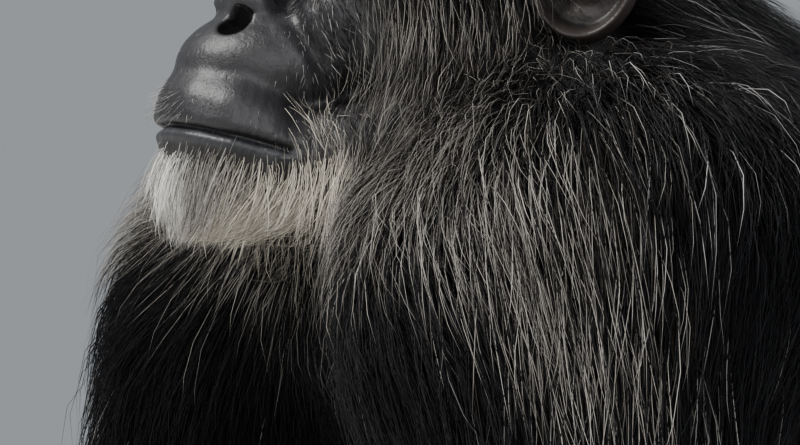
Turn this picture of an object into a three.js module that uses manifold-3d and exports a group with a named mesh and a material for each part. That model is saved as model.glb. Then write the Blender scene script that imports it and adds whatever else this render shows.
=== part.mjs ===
// A life-size seated adult chimpanzee with a white beard and a long coat, in named solids.
// Millimetres, +Z up. The animal faces -Y and its left side is +X; its seat and soles rest on z = 0.
import * as THREE from "three";
import { mergeVertices } from "three/addons/utils/BufferGeometryUtils.js";
import Module from "manifold-3d";

const wasm = await Module();
wasm.setup();

// Driving dimensions
const HIP_HEIGHT = 95;
const HIP_HALF_WIDTH = 85;
const HIP_BACK = 60;
const TRUNK_RISE = 375;
const TRUNK_LEAN = 115;
const SHOULDER_HALF_WIDTH = 152;
const UPPER_ARM = 295;
const UPPER_ARM_OUT = 0.36;
const ARM_FORWARD = { left: 0.16, right: 0.25 };
const KNEE_HALF_WIDTH = 125;
const KNEE_FORWARD = 220;
const KNEE_HEIGHT = 265;
const ANKLE = { halfWidth: 108, forward: 65, height: 44 };
const WRIST = { halfWidth: 196, forward: 330, height: 84 };
const EAR_HEIGHT = 590;
const EAR_FORWARD = 40;
const EAR_ROOT = { x: 81, back: 14, up: 10 };
const EYE_RADIUS = 11;
const EYE_PLACE = { x: 28, forward: 71, up: 24 };
const GAP = 0.4;
const SEAM = 0.3;
const BOX_CENTRE_Y = -139;

const vec = (x, y, z) => new THREE.Vector3(x, y, z);
const SIDES = [
  ["left", 1],
  ["right", -1],
];

// Landmarks of the skeleton
const ear = vec(0, -EAR_FORWARD, EAR_HEIGHT);
// A point of the head: sideways, forward of the ears, above the ears.
const face = (x, forward, up) => vec(x, ear.y - forward, ear.z + up);
const joints = {};
for (const [side, s] of SIDES) {
  const hip = vec(s * HIP_HALF_WIDTH, HIP_BACK, HIP_HEIGHT);
  const shoulder = vec(s * SHOULDER_HALF_WIDTH, HIP_BACK - TRUNK_LEAN, HIP_HEIGHT + TRUNK_RISE);
  const down = vec(s * UPPER_ARM_OUT, -ARM_FORWARD[side], -1).normalize();
  const elbow = shoulder.clone().addScaledVector(down, UPPER_ARM);
  const knee = vec(s * KNEE_HALF_WIDTH, HIP_BACK - KNEE_FORWARD, KNEE_HEIGHT);
  const ankle = vec(s * ANKLE.halfWidth, knee.y - ANKLE.forward, ANKLE.height);
  const wrist = vec(s * WRIST.halfWidth, -WRIST.forward, WRIST.height);
  joints[side] = { hip, shoulder, elbow, knee, ankle, wrist };
}

// Signed distances to flesh. A mass is a tapered rod from a to b, stretched by s along X, Y and Z.
const rod = (a, b, ra, rb = ra, s = [1, 1, 1]) => ({ a, b, ra, rb, s });
const ball = (a, radii) => ({ a, b: a, ra: 1, rb: 1, s: radii });

function distanceTo(m, p) {
  const [sx, sy, sz] = m.s;
  const qx = (p.x - m.a.x) / sx;
  const qy = (p.y - m.a.y) / sy;
  const qz = (p.z - m.a.z) / sz;
  const bx = (m.b.x - m.a.x) / sx;
  const by = (m.b.y - m.a.y) / sy;
  const bz = (m.b.z - m.a.z) / sz;
  const bb = bx * bx + by * by + bz * bz;
  const t = bb > 0 ? Math.min(1, Math.max(0, (qx * bx + qy * by + qz * bz) / bb)) : 0;
  const vx = qx - t * bx;
  const vy = qy - t * by;
  const vz = qz - t * bz;
  const length = Math.hypot(vx, vy, vz) || 1e-6;
  const slope = Math.hypot(vx / length / sx, vy / length / sy, vz / length / sz);
  return (length - (m.ra + t * (m.rb - m.ra))) / slope;
}

function smoothMin(a, b, k) {
  const h = Math.max(k - Math.abs(a - b), 0) / k;
  return Math.min(a, b) - (h * h * k) / 4;
}

const fieldOf = (masses, k) => (p) =>
  masses.reduce((d, m) => smoothMin(d, distanceTo(m, p), k), 1e3);

function gradient(field, p) {
  const e = 0.5;
  const along = (x, y, z) =>
    field(vec(p.x + x, p.y + y, p.z + z)) - field(vec(p.x - x, p.y - y, p.z - z));
  return vec(along(e, 0, 0), along(0, e, 0), along(0, 0, e)).normalize();
}

// A solid from a closed mesh, each point moved out along its normal by grow
function solidOf(geometry, grow = 0) {
  const bare = new THREE.BufferGeometry().setAttribute("position", geometry.attributes.position);
  bare.setIndex(geometry.index);
  const merged = mergeVertices(bare, 1e-4);
  merged.computeVertexNormals();
  const { position, normal } = merged.attributes;
  for (let i = 0; i < position.array.length; i++) position.array[i] += grow * normal.array[i];
  return new wasm.Manifold(
    new wasm.Mesh({
      numProp: 3,
      vertProperties: new Float32Array(position.array),
      triVerts: new Uint32Array(merged.index.array),
    }),
  );
}

// rings[0] and the last ring are single points; the rest have equal counts, turning left about the way.
function closedRings(rings, grow = 0) {
  const sides = rings[1].length;
  const points = rings.flat();
  const firstOf = (i) => (i === 0 ? 0 : 1 + (i - 1) * sides);
  const index = [];
  for (let j = 0; j < sides; j++) {
    const next = (j + 1) % sides;
    index.push(0, firstOf(1) + next, firstOf(1) + j);
    for (let i = 1; i < rings.length - 2; i++) {
      const low = firstOf(i);
      const high = firstOf(i + 1);
      index.push(low + j, low + next, high + next, low + j, high + next, high + j);
    }
    const last = firstOf(rings.length - 2);
    index.push(last + j, last + next, points.length - 1);
  }
  const geometry = new THREE.BufferGeometry().setFromPoints(points);
  geometry.setIndex(index);
  return solidOf(geometry, grow);
}

function frameAt(curve, t, up) {
  const along = curve.getTangentAt(t);
  const across = new THREE.Vector3().crossVectors(up, along).normalize();
  return { centre: curve.getPointAt(t), along, across, over: new THREE.Vector3().crossVectors(along, across) };
}

// The point where a ray from inside a field leaves it
function leave(field, from, way, reach = 400) {
  let low = 0;
  let high = reach;
  for (let s = 0; s < reach; ) {
    const d = field(from.clone().addScaledVector(way, s));
    if (d >= 0) {
      high = s;
      break;
    }
    low = s;
    s += Math.max(-0.7 * d, 0.6);
  }
  for (let i = 0; i < 12; i++) {
    const mid = (low + high) / 2;
    if (field(from.clone().addScaledVector(way, mid)) < 0) low = mid;
    else high = mid;
  }
  return from.clone().addScaledVector(way, low);
}

// Rays turn about the spine: side by side along it, and tilted over both its ends.
function ringPoint(field, spine, turn, angle) {
  const { centre, along, across, over } = frameAt(spine.curve, turn.t, spine.up);
  const way = across
    .multiplyScalar(Math.cos(angle))
    .addScaledVector(over, Math.sin(angle))
    .multiplyScalar(Math.cos(turn.tilt))
    .addScaledVector(along, Math.sin(turn.tilt));
  return leave(field, centre, way);
}

function skinOver(field, spine, grow, { rings, sides, caps = 3, spacing = (u) => u }) {
  const turns = [];
  for (let i = 0; i < caps; i++) turns.push({ t: 0, tilt: (-Math.PI / 2) * (1 - i / caps) });
  for (let i = 0; i < rings; i++) turns.push({ t: spacing(i / (rings - 1)), tilt: 0 });
  for (let i = 1; i <= caps; i++) turns.push({ t: 1, tilt: ((Math.PI / 2) * i) / caps });
  const points = turns.map((turn, i) => {
    const pole = i === 0 || i === turns.length - 1;
    const count = pole ? 1 : sides;
    return Array.from({ length: count }, (_, j) => ringPoint(field, spine, turn, (2 * Math.PI * j) / sides));
  });
  return closedRings(points, grow);
}

const spineOf = (points, up = vec(0, -1, 0)) => ({ curve: new THREE.CatmullRomCurve3(points), up });
const between = (a, b, t) => a.clone().lerp(b, t);

// An ellipsoid as a solid, used to cut and to build small forms
function eggSolid(centre, radii, grow = 0, sides = 12, turn = [0, 0, 0]) {
  const g = new THREE.SphereGeometry(1, sides, Math.round(sides * 0.7));
  g.scale(...radii);
  g.applyMatrix4(new THREE.Matrix4().makeRotationFromEuler(new THREE.Euler(...turn)));
  g.translate(centre.x, centre.y, centre.z);
  return solidOf(g, grow);
}

// A round tube through points, its radius given at each share of the way
function tubeSolid(points, radiusAt, { steps, sides, up = vec(0, 0, 1) }, grow = 0) {
  const curve = new THREE.CatmullRomCurve3(points);
  const rings = [[curve.getPointAt(0)]];
  for (let i = 0; i <= steps; i++) {
    const { centre, across, over } = frameAt(curve, i / steps, up);
    rings.push(
      Array.from({ length: sides }, (_, j) => {
        const a = (2 * Math.PI * j) / sides;
        return centre
          .clone()
          .addScaledVector(across, radiusAt(i / steps) * Math.cos(a))
          .addScaledVector(over, radiusAt(i / steps) * Math.sin(a));
      }),
    );
  }
  rings.push([curve.getPointAt(1)]);
  return closedRings(rings, grow);
}

// Flesh of the head
const LIP_LINE = { front: -59, corner: -70, cornerForward: 107, halfWidth: 41, frontForward: 148 };
function lipArc(x, inset, drop) {
  const u = Math.abs(x) / LIP_LINE.halfWidth;
  const bow = Math.sqrt(Math.max(0, 1 - u * u));
  const forward = LIP_LINE.cornerForward + (LIP_LINE.frontForward - LIP_LINE.cornerForward) * bow;
  const up = LIP_LINE.corner + (LIP_LINE.front - LIP_LINE.corner) * bow;
  return face(x * (1 - inset / LIP_LINE.halfWidth), forward - inset * bow, up + drop);
}
const lipRods = (inset, drop, radius) => {
  const angles = [-78, -52, -26, 0, 26, 52, 78].map((a) => (a * Math.PI) / 180);
  return angles.slice(1).map((a, i) => {
    const [x0, x1] = [angles[i], a].map((b) => LIP_LINE.halfWidth * Math.sin(b));
    return rod(lipArc(x0, inset, drop), lipArc(x1, inset, drop), radius);
  });
};
const headMasses = [
  ball(face(0, -20, 26), [61, 74, 54]),
  ball(face(0, -46, 14), [52, 52, 46]),
  ball(face(0, 50, -4), [44, 42, 42]),
  ball(face(0, 33, 30), [50, 47, 38]),
  rod(face(0, 80, 22), face(0, 111, -3), 10, 8),
  ball(face(0, 100, -32), [38, 42, 30]),
  ball(face(0, 92, -74), [34, 48, 23]),
  ball(face(0, 126, -82), [21, 16, 15]),
  ...lipRods(11, 8, 12),
  ...lipRods(9, -8, 8),
  ...[1, -1].flatMap((s) => [
    rod(face(s * 46, 60, 0), face(s * 61, 14, 4), 15, 12),
    rod(face(s * 30, 76, -14), face(s * 50, 22, -50), 19, 20),
    rod(face(s * 26, 100, -74), face(s * 50, 20, -62), 18, 24),
    ball(face(s * 12, 111, -7), [9, 8, 8]),
  ]),
];
// The brow ridge runs over both eyes, from temple to temple.
const BROW = { radius: 10, half: [[57, 56, 24], [42, 74, 38], [20, 81, 42]], middle: [0, 80, 39] };
const browHalf = (s) => BROW.half.map(([x, forward, up]) => face(s * x, forward, up));
const browPoints = [...browHalf(-1), face(...BROW.middle), ...browHalf(1).reverse()];
const browMasses = browPoints.slice(1).map((p, i) => rod(browPoints[i], p, BROW.radius));
const orbits = SIDES.map(([, s]) => ball(face(s * 30, 92, 21), [18, 17, 13]));
const headBlend = 9;
const headFlesh = fieldOf([...headMasses, ...browMasses], headBlend);
// Flesh of the head less the hollows of the eyes
const carvedHead = (p) =>
  orbits.reduce((d, o) => -smoothMin(-d, distanceTo(o, p), headBlend), headFlesh(p));

// Masses of the body, by node
const masses = { head: headMasses };
masses.neck = [
  rod(face(0, -18, -15), vec(0, 15, 500), 62, 84),
  rod(face(0, -64, -16), vec(0, 84, 505), 40, 58),
  rod(face(0, 34, -62), vec(0, -60, 470), 40, 52),
];
masses.chest = [
  ball(vec(0, 42, 400), [142, 118, 158]),
  rod(vec(-112, 32, 486), vec(112, 32, 486), 60),
  rod(vec(-70, 88, 440), vec(70, 88, 440), 74),
  rod(vec(-62, -38, 430), vec(62, -38, 430), 56),
];
masses.belly = [
  ball(vec(0, 38, 226), [128, 116, 130]),
  ball(vec(0, 60, 98), [122, 98, 88]),
  rod(vec(-58, 92, 42), vec(58, 92, 42), 40),
];
for (const [side, s] of SIDES) {
  const { hip, shoulder, elbow, knee, ankle, wrist } = joints[side];
  masses["upper_arm_" + side] = [
    rod(shoulder, elbow, 52, 40),
    ball(shoulder.clone().add(vec(s * 6, 4, -14)), [60, 64, 72]),
    rod(between(shoulder, elbow, 0.3), between(shoulder, elbow, 0.8), 51, 43),
  ];
  masses["forearm_" + side] = [
    rod(elbow, wrist, 41, 25),
    rod(between(elbow, wrist, 0.12), between(elbow, wrist, 0.5), 46, 37),
  ];
  masses["thigh_" + side] = [
    rod(hip, knee, 70, 48),
    rod(between(hip, knee, 0.2), between(hip, knee, 0.75), 70, 58),
  ];
  const calf = between(knee, ankle, 0.35).add(vec(0, 14, 0));
  masses["shin_" + side] = [rod(knee, ankle, 45, 27), ball(calf, [38, 38, 64])];
}

// Hands lie on the backs of their curled fingers, and feet flat on their soles.
const PALM = { long: 82, halfWidth: 34.5, thick: 16, turnIn: -0.1 };
const FINGERS = [
  { name: "index", across: 1, reach: 0, size: 10 },
  { name: "middle", across: 0.34, reach: 6, size: 10.2 },
  { name: "ring", across: -0.34, reach: 3, size: 10 },
  { name: "little", across: -1, reach: -8, size: 9.4 },
];
const FINGER_SIDES = 5;
const TOES = [
  { name: "second", across: 0.95, long: 66 },
  { name: "third", across: 0.32, long: 70 },
  { name: "fourth", across: -0.32, long: 66 },
  { name: "fifth", across: -0.95, long: 56 },
];
const TOE_RADIUS = 9.8;
const SOLE = { long: 118, halfWidth: 33, heelBack: 32 };
const digits = [];
const digitWays = {};
for (const [side, s] of SIDES) {
  const { ankle, wrist } = joints[side];
  const inward = vec(-s, 0, 0);
  const forward = vec(s * PALM.turnIn, -1, 0).normalize();
  const knuckle = wrist.clone().addScaledVector(forward, PALM.long).setZ(58);
  masses["hand_" + side] = [
    rod(wrist, between(wrist, knuckle, 0.5), 23, 22, [1.15, 1, 0.9]),
    rod(
      knuckle.clone().addScaledVector(inward, PALM.halfWidth * 0.8).setZ(55),
      knuckle.clone().addScaledVector(inward, -PALM.halfWidth * 0.8).setZ(52),
      PALM.thick,
    ),
    rod(between(wrist, knuckle, 0.35), knuckle, 19, 18, [1.7, 1, 1]),
  ];
  for (const f of FINGERS) {
    const base = knuckle.clone().addScaledVector(inward, PALM.halfWidth * f.across);
    base.setZ(54);
    const bend = base.clone().addScaledVector(forward, 34 + f.reach).setZ(f.size + 3);
    const fold = bend.clone().addScaledVector(forward, -30).setZ(f.size);
    const tip = fold.clone().addScaledVector(forward, -13).setZ(f.size + 9);
    digits.push({
      name: "finger_" + f.name + "_" + side,
      points: [base, bend, fold, tip],
      radii: [f.size + 0.3, f.size, f.size - 0.6, f.size - 2],
      of: "hand_" + side,
    });
  }
  const thumbBase = between(wrist, knuckle, 0.35).addScaledVector(inward, 24);
  const thumbEnd = knuckle.clone().addScaledVector(inward, 44).addScaledVector(forward, -18).setZ(31);
  digits.push({
    name: "thumb_" + side,
    points: [thumbBase, between(thumbBase, thumbEnd, 0.5).setZ(56), thumbEnd],
    radii: [13, 10.5, 9],
    of: "hand_" + side,
  });
  digitWays[side] = { knuckle: knuckle.clone(), finger: forward.clone() };
  const heel = ankle.clone().add(vec(-s * 2, SOLE.heelBack, 0)).setZ(26);
  const toeWay = vec(s * 0.16, -1, 0).normalize();
  const toeRoot = ankle.clone().addScaledVector(toeWay, SOLE.long).setZ(20);
  Object.assign(digitWays[side], { toeRoot: toeRoot.clone(), toe: toeWay.clone() });
  const outer = (d) => toeRoot.clone().addScaledVector(inward, d).setZ(19);
  masses["foot_" + side] = [
    rod(ankle, heel, 27, 25),
    rod(ankle, between(ankle, toeRoot, 0.6), 26, 21, [1.2, 1, 1]),
    rod(heel, between(heel, toeRoot, 0.6), 22, 20, [1.35, 1, 1]),
    rod(outer(SOLE.halfWidth * 0.75), outer(-SOLE.halfWidth * 0.75), 17.5),
    rod(between(heel, toeRoot, 0.5).setZ(20), toeRoot, 19, 17, [1.7, 1, 1]),
  ];
  for (const t of TOES) {
    const base = toeRoot.clone().addScaledVector(inward, SOLE.halfWidth * t.across).setZ(18);
    const mid = base.clone().addScaledVector(toeWay, t.long * 0.55).setZ(20);
    const tip = base.clone().addScaledVector(toeWay, t.long - 10).setZ(10.5);
    digits.push({
      name: "toe_" + t.name + "_" + side,
      points: [base, mid, tip],
      radii: [TOE_RADIUS + 0.3, TOE_RADIUS, TOE_RADIUS - 1],
      of: "foot_" + side,
    });
  }
  const greatRoot = between(heel, toeRoot, 0.62).addScaledVector(inward, 22).setZ(20);
  const greatTip = greatRoot.clone().add(vec(-s * 44, -58, -6));
  digits.push({
    name: "toe_great_" + side,
    points: [greatRoot, between(greatRoot, greatTip, 0.55).setZ(19), greatTip],
    radii: [17, 14, 13],
    of: "foot_" + side,
  });
}
for (const d of digits)
  masses[d.name] = d.points.slice(1).map((p, i) => rod(d.points[i], p, d.radii[i], d.radii[i + 1]));

// The whole coated body, over which locks are laid
const BODY_BLEND = 22;
const coated = ["neck", "chest", "belly"];
for (const [side] of SIDES)
  for (const part of ["upper_arm_", "forearm_", "thigh_", "shin_"]) coated.push(part + side);
const bodyFlesh = fieldOf(
  coated.flatMap((n) => masses[n]),
  BODY_BLEND,
);
const wholeFlesh = (p) => smoothMin(carvedHead(p), bodyFlesh(p), 14);

// The core of the coat: none on the bare face, hands and feet
const CORE = { head: 6, neck: 11, chest: 11, belly: 9, upper_arm: 11, forearm: 8, thigh: 8, shin: 5 };
const smoothStep = (x, a, b) => {
  const t = Math.min(1, Math.max(0, (x - a) / (b - a)));
  return t * t * (3 - 2 * t);
};
// 0 on the bare skin of the face, 1 in the hair behind and above it
function hairiness(p) {
  const forward = ear.y - p.y;
  const up = p.z - ear.z;
  const overBrow = smoothStep(up, 10, 44);
  const browLine = smoothStep(forward, 74 + 8 * overBrow, 38 + 26 * overBrow);
  const crown = smoothStep(up, 48, 60);
  return Math.max(browLine, crown);
}

const nodes = new Map();
const partOf = (name) => name.replace(/_(left|right)$/, "");
function fieldFor(name, neighbours) {
  const own = fieldOf(masses[name], 16);
  const blended = fieldOf(
    [name, ...neighbours].flatMap((n) => masses[n]),
    BODY_BLEND,
  );
  const core = CORE[partOf(name)] ?? 0;
  const margin = core + 8;
  return (p) => Math.max(blended(p) - core, own(p) - margin);
}

// One lock: a flat blade with a ridge, tapering to its tip, laid over the body along a way
const random = (() => {
  let seed = 20260;
  return () => {
    seed = (seed * 16807) % 2147483647;
    return seed / 2147483647;
  };
})();
const vary = (share) => 1 + share * (2 * random() - 1);

// Grown by its edges and tip too, which are sharp
const SHARP = 8;
function lockSolid(k, grow) {
  const rings = k.path.map(({ at, normal, along }, i) => {
    const wide = k.width * k.taper[i] * 0.5 + SHARP * grow;
    const across = new THREE.Vector3().crossVectors(normal, along).normalize();
    const top = k.thick * k.taper[i] * 0.5 + grow * 1.1;
    const bottom = k.thick * k.taper[i] * -0.25 - grow;
    const edge = (w, h) => at.clone().addScaledVector(across, w).addScaledVector(normal, h);
    return [edge(wide, bottom), edge(0, top), edge(-wide, bottom)];
  });
  const [first, second] = k.path;
  const last = k.path[k.path.length - 1];
  const back = first.at.clone().sub(second.at).normalize();
  const ahead = k.tip.clone().sub(last.at).normalize();
  for (const p of rings[0]) p.addScaledVector(back, grow);
  const root = first.at.clone().addScaledVector(back, grow);
  return closedRings([[root], ...rings, [k.tip.clone().addScaledVector(ahead, SHARP * grow)]]);
}

const TAPER = [0.85, 1, 0.72];
const LOOSE = 0.3;
const CLEAR = 3.5;
// A lock leaves the core steeply, rises to its height over the flesh and hangs where the body falls away.
function layLock(root, { lie, length, width, thick, sink, rise }, field) {
  const path = [];
  const step = length / TAPER.length;
  const low = field(root) + CLEAR;
  let at = root.clone();
  let normal = gradient(field, at);
  for (let i = 0; i < TAPER.length; i++) {
    const way = lie(at, normal).normalize();
    const along = way.clone().addScaledVector(normal, -way.dot(normal)).normalize();
    path.push({ at: at.clone().addScaledVector(normal, i === 0 ? -sink : 0), normal, along });
    const next = at.clone().addScaledVector(along.lerp(way, LOOSE).normalize(), step);
    const away = field(next);
    const height = low + ((rise - low) * i) / (TAPER.length - 1);
    const slope = gradient(field, next);
    if (away < height) next.addScaledVector(slope, height - away);
    else if (away > height + rise) next.addScaledVector(slope, (height + rise - away) * 0.5);
    at = next;
    normal = normal.clone().lerp(slope, 0.6).normalize();
  }
  for (let i = 0; i < path.length - 1; i++)
    path[i].along = path[i + 1].at.clone().sub(path[i].at).normalize();
  return { path, width, thick, taper: TAPER, tip: at };
}

const keepLargest = (solid) =>
  solid.decompose().reduce((best, b) => (b.volume() > best.volume() ? b : best));

function addNode(name, base, colour, roughness = 0.9) {
  nodes.set(name, { base, colour, roughness, locks: [] });
}

const COLOURS = { coat: 0x1d1b1c, skin: 0x3a3634, eye: 0x35200f, pad: 0x8c6f66 };

// Locks are laid in staggered rows round a node's spine, where the root is on open skin of the node.
// A row is a share of the way along the spine and a tilt over its end, in degrees.
function rowsOfLocks(name, spine, coat) {
  const field = name === "head" ? headField : fieldFor(name, NEIGHBOURS[name]);
  const core = CORE[partOf(name)];
  coat.rows.forEach(([t, tilt], i) => {
    for (let j = 0; j < coat.around; j++) {
      const angle = (2 * Math.PI * (j + 0.5 * (i % 2) + 0.2 * (random() - 0.5))) / coat.around;
      const root = ringPoint(field, spine, { t, tilt: THREE.MathUtils.degToRad(tilt) }, angle);
      const open = wholeFlesh(root) > 0.4 * core && root.z > coat.length * 0.35;
      if (open && standsClear(name, root) && (coat.keep?.(root) ?? true)) addLock(name, root, coat);
    }
  });
}

// A lock that would fold over itself in a tight corner is left out, by the volume in mm3 that shows it.
const FOLD = 2;
function addLock(name, root, coat) {
  const sizes = { ...coat, length: coat.length * vary(0.12), width: coat.width * vary(0.12) };
  const lock = layLock(root, sizes, wholeFlesh);
  const [real, grown] = [lockSolid(lock, 0), lockSolid(lock, GAP)];
  const folded = real.volume() < 0 || Math.abs(real.subtract(grown).volume()) > FOLD;
  if (!folded) nodes.get(name).locks.push(lock);
}

// True where a root is well on its own side of the seams and outside the nodes made before its own
function standsClear(name, root) {
  const margin = 7;
  const ownSide = seams.every(([ahead, behind, point, way]) => {
    const past = way.dot(root) - way.dot(point);
    return (ahead !== name || past > margin) && (behind !== name || past < -margin);
  });
  const before = (n) => n !== "head" && rank(n) < rank(name) && !seamOf(n, name);
  const earlier = (NEIGHBOURS[name] ?? []).filter(before);
  return ownSide && earlier.every((n) => fieldFor(n, NEIGHBOURS[n] ?? [])(root) > 4);
}

// Limbs and trunk
const spines = { chest: spineOf([vec(0, 60, 300), vec(0, 40, 400), vec(0, 30, 500)]) };
spines.belly = spineOf([vec(0, 70, 70), vec(0, 50, 160), vec(0, 40, 300)]);
spines.neck = spineOf([vec(0, 14, 490), vec(0, 2, 532), vec(0, -10, 574)]);
for (const [side] of SIDES) {
  const { hip, shoulder, elbow, knee, ankle, wrist } = joints[side];
  spines["upper_arm_" + side] = spineOf([shoulder, between(shoulder, elbow, 0.5), elbow]);
  spines["forearm_" + side] = spineOf([elbow, between(elbow, wrist, 0.5), wrist], vec(0, 0, 1));
  spines["thigh_" + side] = spineOf([hip, between(hip, knee, 0.5), knee], vec(0, 0, 1));
  spines["shin_" + side] = spineOf([knee, between(knee, ankle, 0.5), ankle]);
}
const DIVISIONS = {
  chest: [6, 18],
  belly: [6, 16],
  neck: [4, 16],
  upper_arm: [5, 11],
  forearm: [5, 10],
  thigh: [5, 12],
  shin: [5, 10],
};
const NEIGHBOURS = {
  chest: ["neck", "belly", "upper_arm_left", "upper_arm_right"],
  belly: ["chest", "thigh_left", "thigh_right"],
  neck: ["chest", "head"],
};
for (const [side] of SIDES) {
  NEIGHBOURS["upper_arm_" + side] = ["chest", "forearm_" + side];
  NEIGHBOURS["forearm_" + side] = ["upper_arm_" + side, "hand_" + side];
  NEIGHBOURS["thigh_" + side] = ["belly", "shin_" + side];
  NEIGHBOURS["shin_" + side] = ["thigh_" + side, "foot_" + side];
}

function addLimb(name) {
  const [rings, sides] = DIVISIONS[partOf(name)];
  addNode(
    name,
    (grow) => skinOver(fieldFor(name, NEIGHBOURS[name]), spines[name], grow, { rings, sides }),
    COLOURS.coat,
  );
}

// Head
const headSpine = spineOf(
  [face(0, -40, 18), face(0, 20, 2), face(0, 68, -20), face(0, 112, -48)],
  vec(0, 0, 1),
);
const carve = (d, p) => orbits.reduce((e, o) => -smoothMin(-e, distanceTo(o, p), headBlend), d);
const looseHead = fieldOf(headMasses, headBlend);
const bareHead = (p) => carve(looseHead(p), p);
const neckFlesh = fieldOf(masses.neck, headBlend);
const headField = (p) => {
  const own = bareHead(p);
  const joined = Math.max(smoothMin(own, neckFlesh(p), BODY_BLEND), own - 14);
  return joined - CORE.head * hairiness(p);
};

function eyelids() {
  return SIDES.map(([, s]) => {
    const centre = face(s * EYE_PLACE.x, EYE_PLACE.forward, EYE_PLACE.up);
    const lids = eggSolid(centre, [EYE_RADIUS + 2.6, EYE_RADIUS + 2.2, EYE_RADIUS + 2], 0, 10);
    const slit = eggSolid(centre.clone().add(vec(0, -EYE_RADIUS, -1)), [10.5, 9, 4.6], 0, 8, [0, s * 0.12, 0]);
    return lids.subtract(slit);
  });
}

function mouthGroove() {
  const points = [-1, -0.8, -0.55, -0.28, 0, 0.28, 0.55, 0.8, 1].map((u) => {
    const x = LIP_LINE.halfWidth * 1.05 * Math.sin((u * Math.PI) / 2.1);
    const inside = lipArc(x, 16, 0);
    return leave(headField, inside, lipArc(x, 0, 0).sub(inside).normalize());
  });
  return tubeSolid(points, (t) => 0.7 + 1.4 * Math.sin(Math.PI * t), { steps: 16, sides: 4 });
}

function nostrils() {
  return SIDES.map(([, s]) =>
    tubeSolid(
      [face(s * 13, 124, -15), face(s * 12, 116, -9), face(s * 9, 104, 0)],
      (t) => 5.6 - 2.6 * t,
      { steps: 3, sides: 8, up: vec(1, 0, 0) },
    ),
  );
}

function headSolid(grow) {
  const spread = (u) => 1 - Math.pow(1 - u, 1.25);
  const skull = skinOver(headField, headSpine, grow, { rings: 17, sides: 24, caps: 4, spacing: spread });
  const browRadius = (t) => BROW.radius * (0.7 + 0.42 * Math.sin(Math.PI * t));
  const brow = tubeSolid(browPoints, browRadius, { steps: 12, sides: 8 }, grow);
  let solid = skull.add(brow);
  for (const lids of eyelids()) solid = solid.add(lids);
  return solid;
}

addNode("head", headSolid, COLOURS.skin, 0.75);
for (const [side, s] of SIDES)
  addNode(
    "eye_" + side,
    (grow) =>
      eggSolid(
        face(s * EYE_PLACE.x, EYE_PLACE.forward, EYE_PLACE.up),
        [EYE_RADIUS, EYE_RADIUS, EYE_RADIUS],
        grow,
        9,
        [Math.PI / 2, 0, 0],
      ),
    COLOURS.eye,
    0.2,
  );

// Ears: a thin dish with a rolled rim, standing out from the head
const EAR = { halfHeight: 36, halfWidth: 26, thick: 5, rim: 4.2, flare: 0.62, lean: 0.12 };
function earSolid(s, grow) {
  const onDish = (a, share) =>
    vec(0, -Math.cos(a) * EAR.halfWidth * share, Math.sin(a) * EAR.halfHeight * share);
  const dish = eggSolid(vec(2, 0, 0), [EAR.thick, EAR.halfWidth, EAR.halfHeight], grow, 12);
  const cup = eggSolid(vec(8, 2, 2), [7.5, EAR.halfWidth * 0.72, EAR.halfHeight * 0.74], 0, 9);
  const rimPoints = [];
  for (let d = -30; d <= 275; d += 25) {
    const p = onDish((d * Math.PI) / 180 + Math.PI * 0.12, 0.93);
    p.x = 5;
    rimPoints.push(p);
  }
  const rimRadius = (t) => EAR.rim * (0.75 + 0.4 * Math.sin(Math.PI * t));
  const rim = tubeSolid(rimPoints, rimRadius, { steps: 10, sides: 4, up: vec(1, 0, 0) }, grow);
  const ridge = tubeSolid(
    [vec(2, 8, -17), vec(4, 13, -2), vec(4, 6, 15), vec(3, -6, 22)],
    (t) => 3.4 - t,
    { steps: 4, sides: 4, up: vec(1, 0, 0) },
    grow,
  );
  const tragus = eggSolid(vec(4, -19, -9), [5, 6, 8], grow, 6);
  const whole = grow > 0 ? dish : dish.subtract(cup);
  const made = whole.add(rim).add(ridge).add(tragus);
  const degrees = THREE.MathUtils.radToDeg;
  const turned = made.rotate([degrees(-EAR.lean), 0, degrees(-EAR.flare)]);
  const placed = turned.translate([EAR_ROOT.x, ear.y + EAR_ROOT.back, ear.z + EAR_ROOT.up]);
  return s > 0 ? placed : placed.mirror([1, 0, 0]);
}
for (const [side, s] of SIDES) addNode("ear_" + side, (grow) => earSolid(s, grow), COLOURS.skin, 0.7);

for (const name of ["neck", "chest", "belly"]) addLimb(name);
for (const part of ["upper_arm_", "forearm_", "thigh_", "shin_"])
  for (const [side] of SIDES) addLimb(part + side);

function addExtremity(name, points, neighbour, sizes) {
  const spine = spineOf(points, vec(0, 0, 1));
  const own = fieldOf(masses[name], 7);
  const blended = fieldOf([...masses[name], ...masses[neighbour]], 9);
  const field = (p) => Math.max(blended(p), own(p) - 5);
  addNode(name, (grow) => skinOver(field, spine, grow, sizes), COLOURS.skin, 0.7);
}
for (const [side] of SIDES) {
  const { ankle, wrist } = joints[side];
  const knuckle = wrist.clone().add(vec(0, -PALM.long, 0)).setZ(52);
  const palm = [wrist, between(wrist, knuckle, 0.5), knuckle];
  addExtremity("hand_" + side, palm, "forearm_" + side, { rings: 4, sides: 12 });
  const back = ankle.clone().add(vec(0, 22, -16));
  const front = ankle.clone().add(vec(0, -SOLE.long + 4, -22));
  const sole = [back, between(back, front, 0.5), front];
  addExtremity("foot_" + side, sole, "shin_" + side, { rings: 6, sides: 12 });
}
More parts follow.
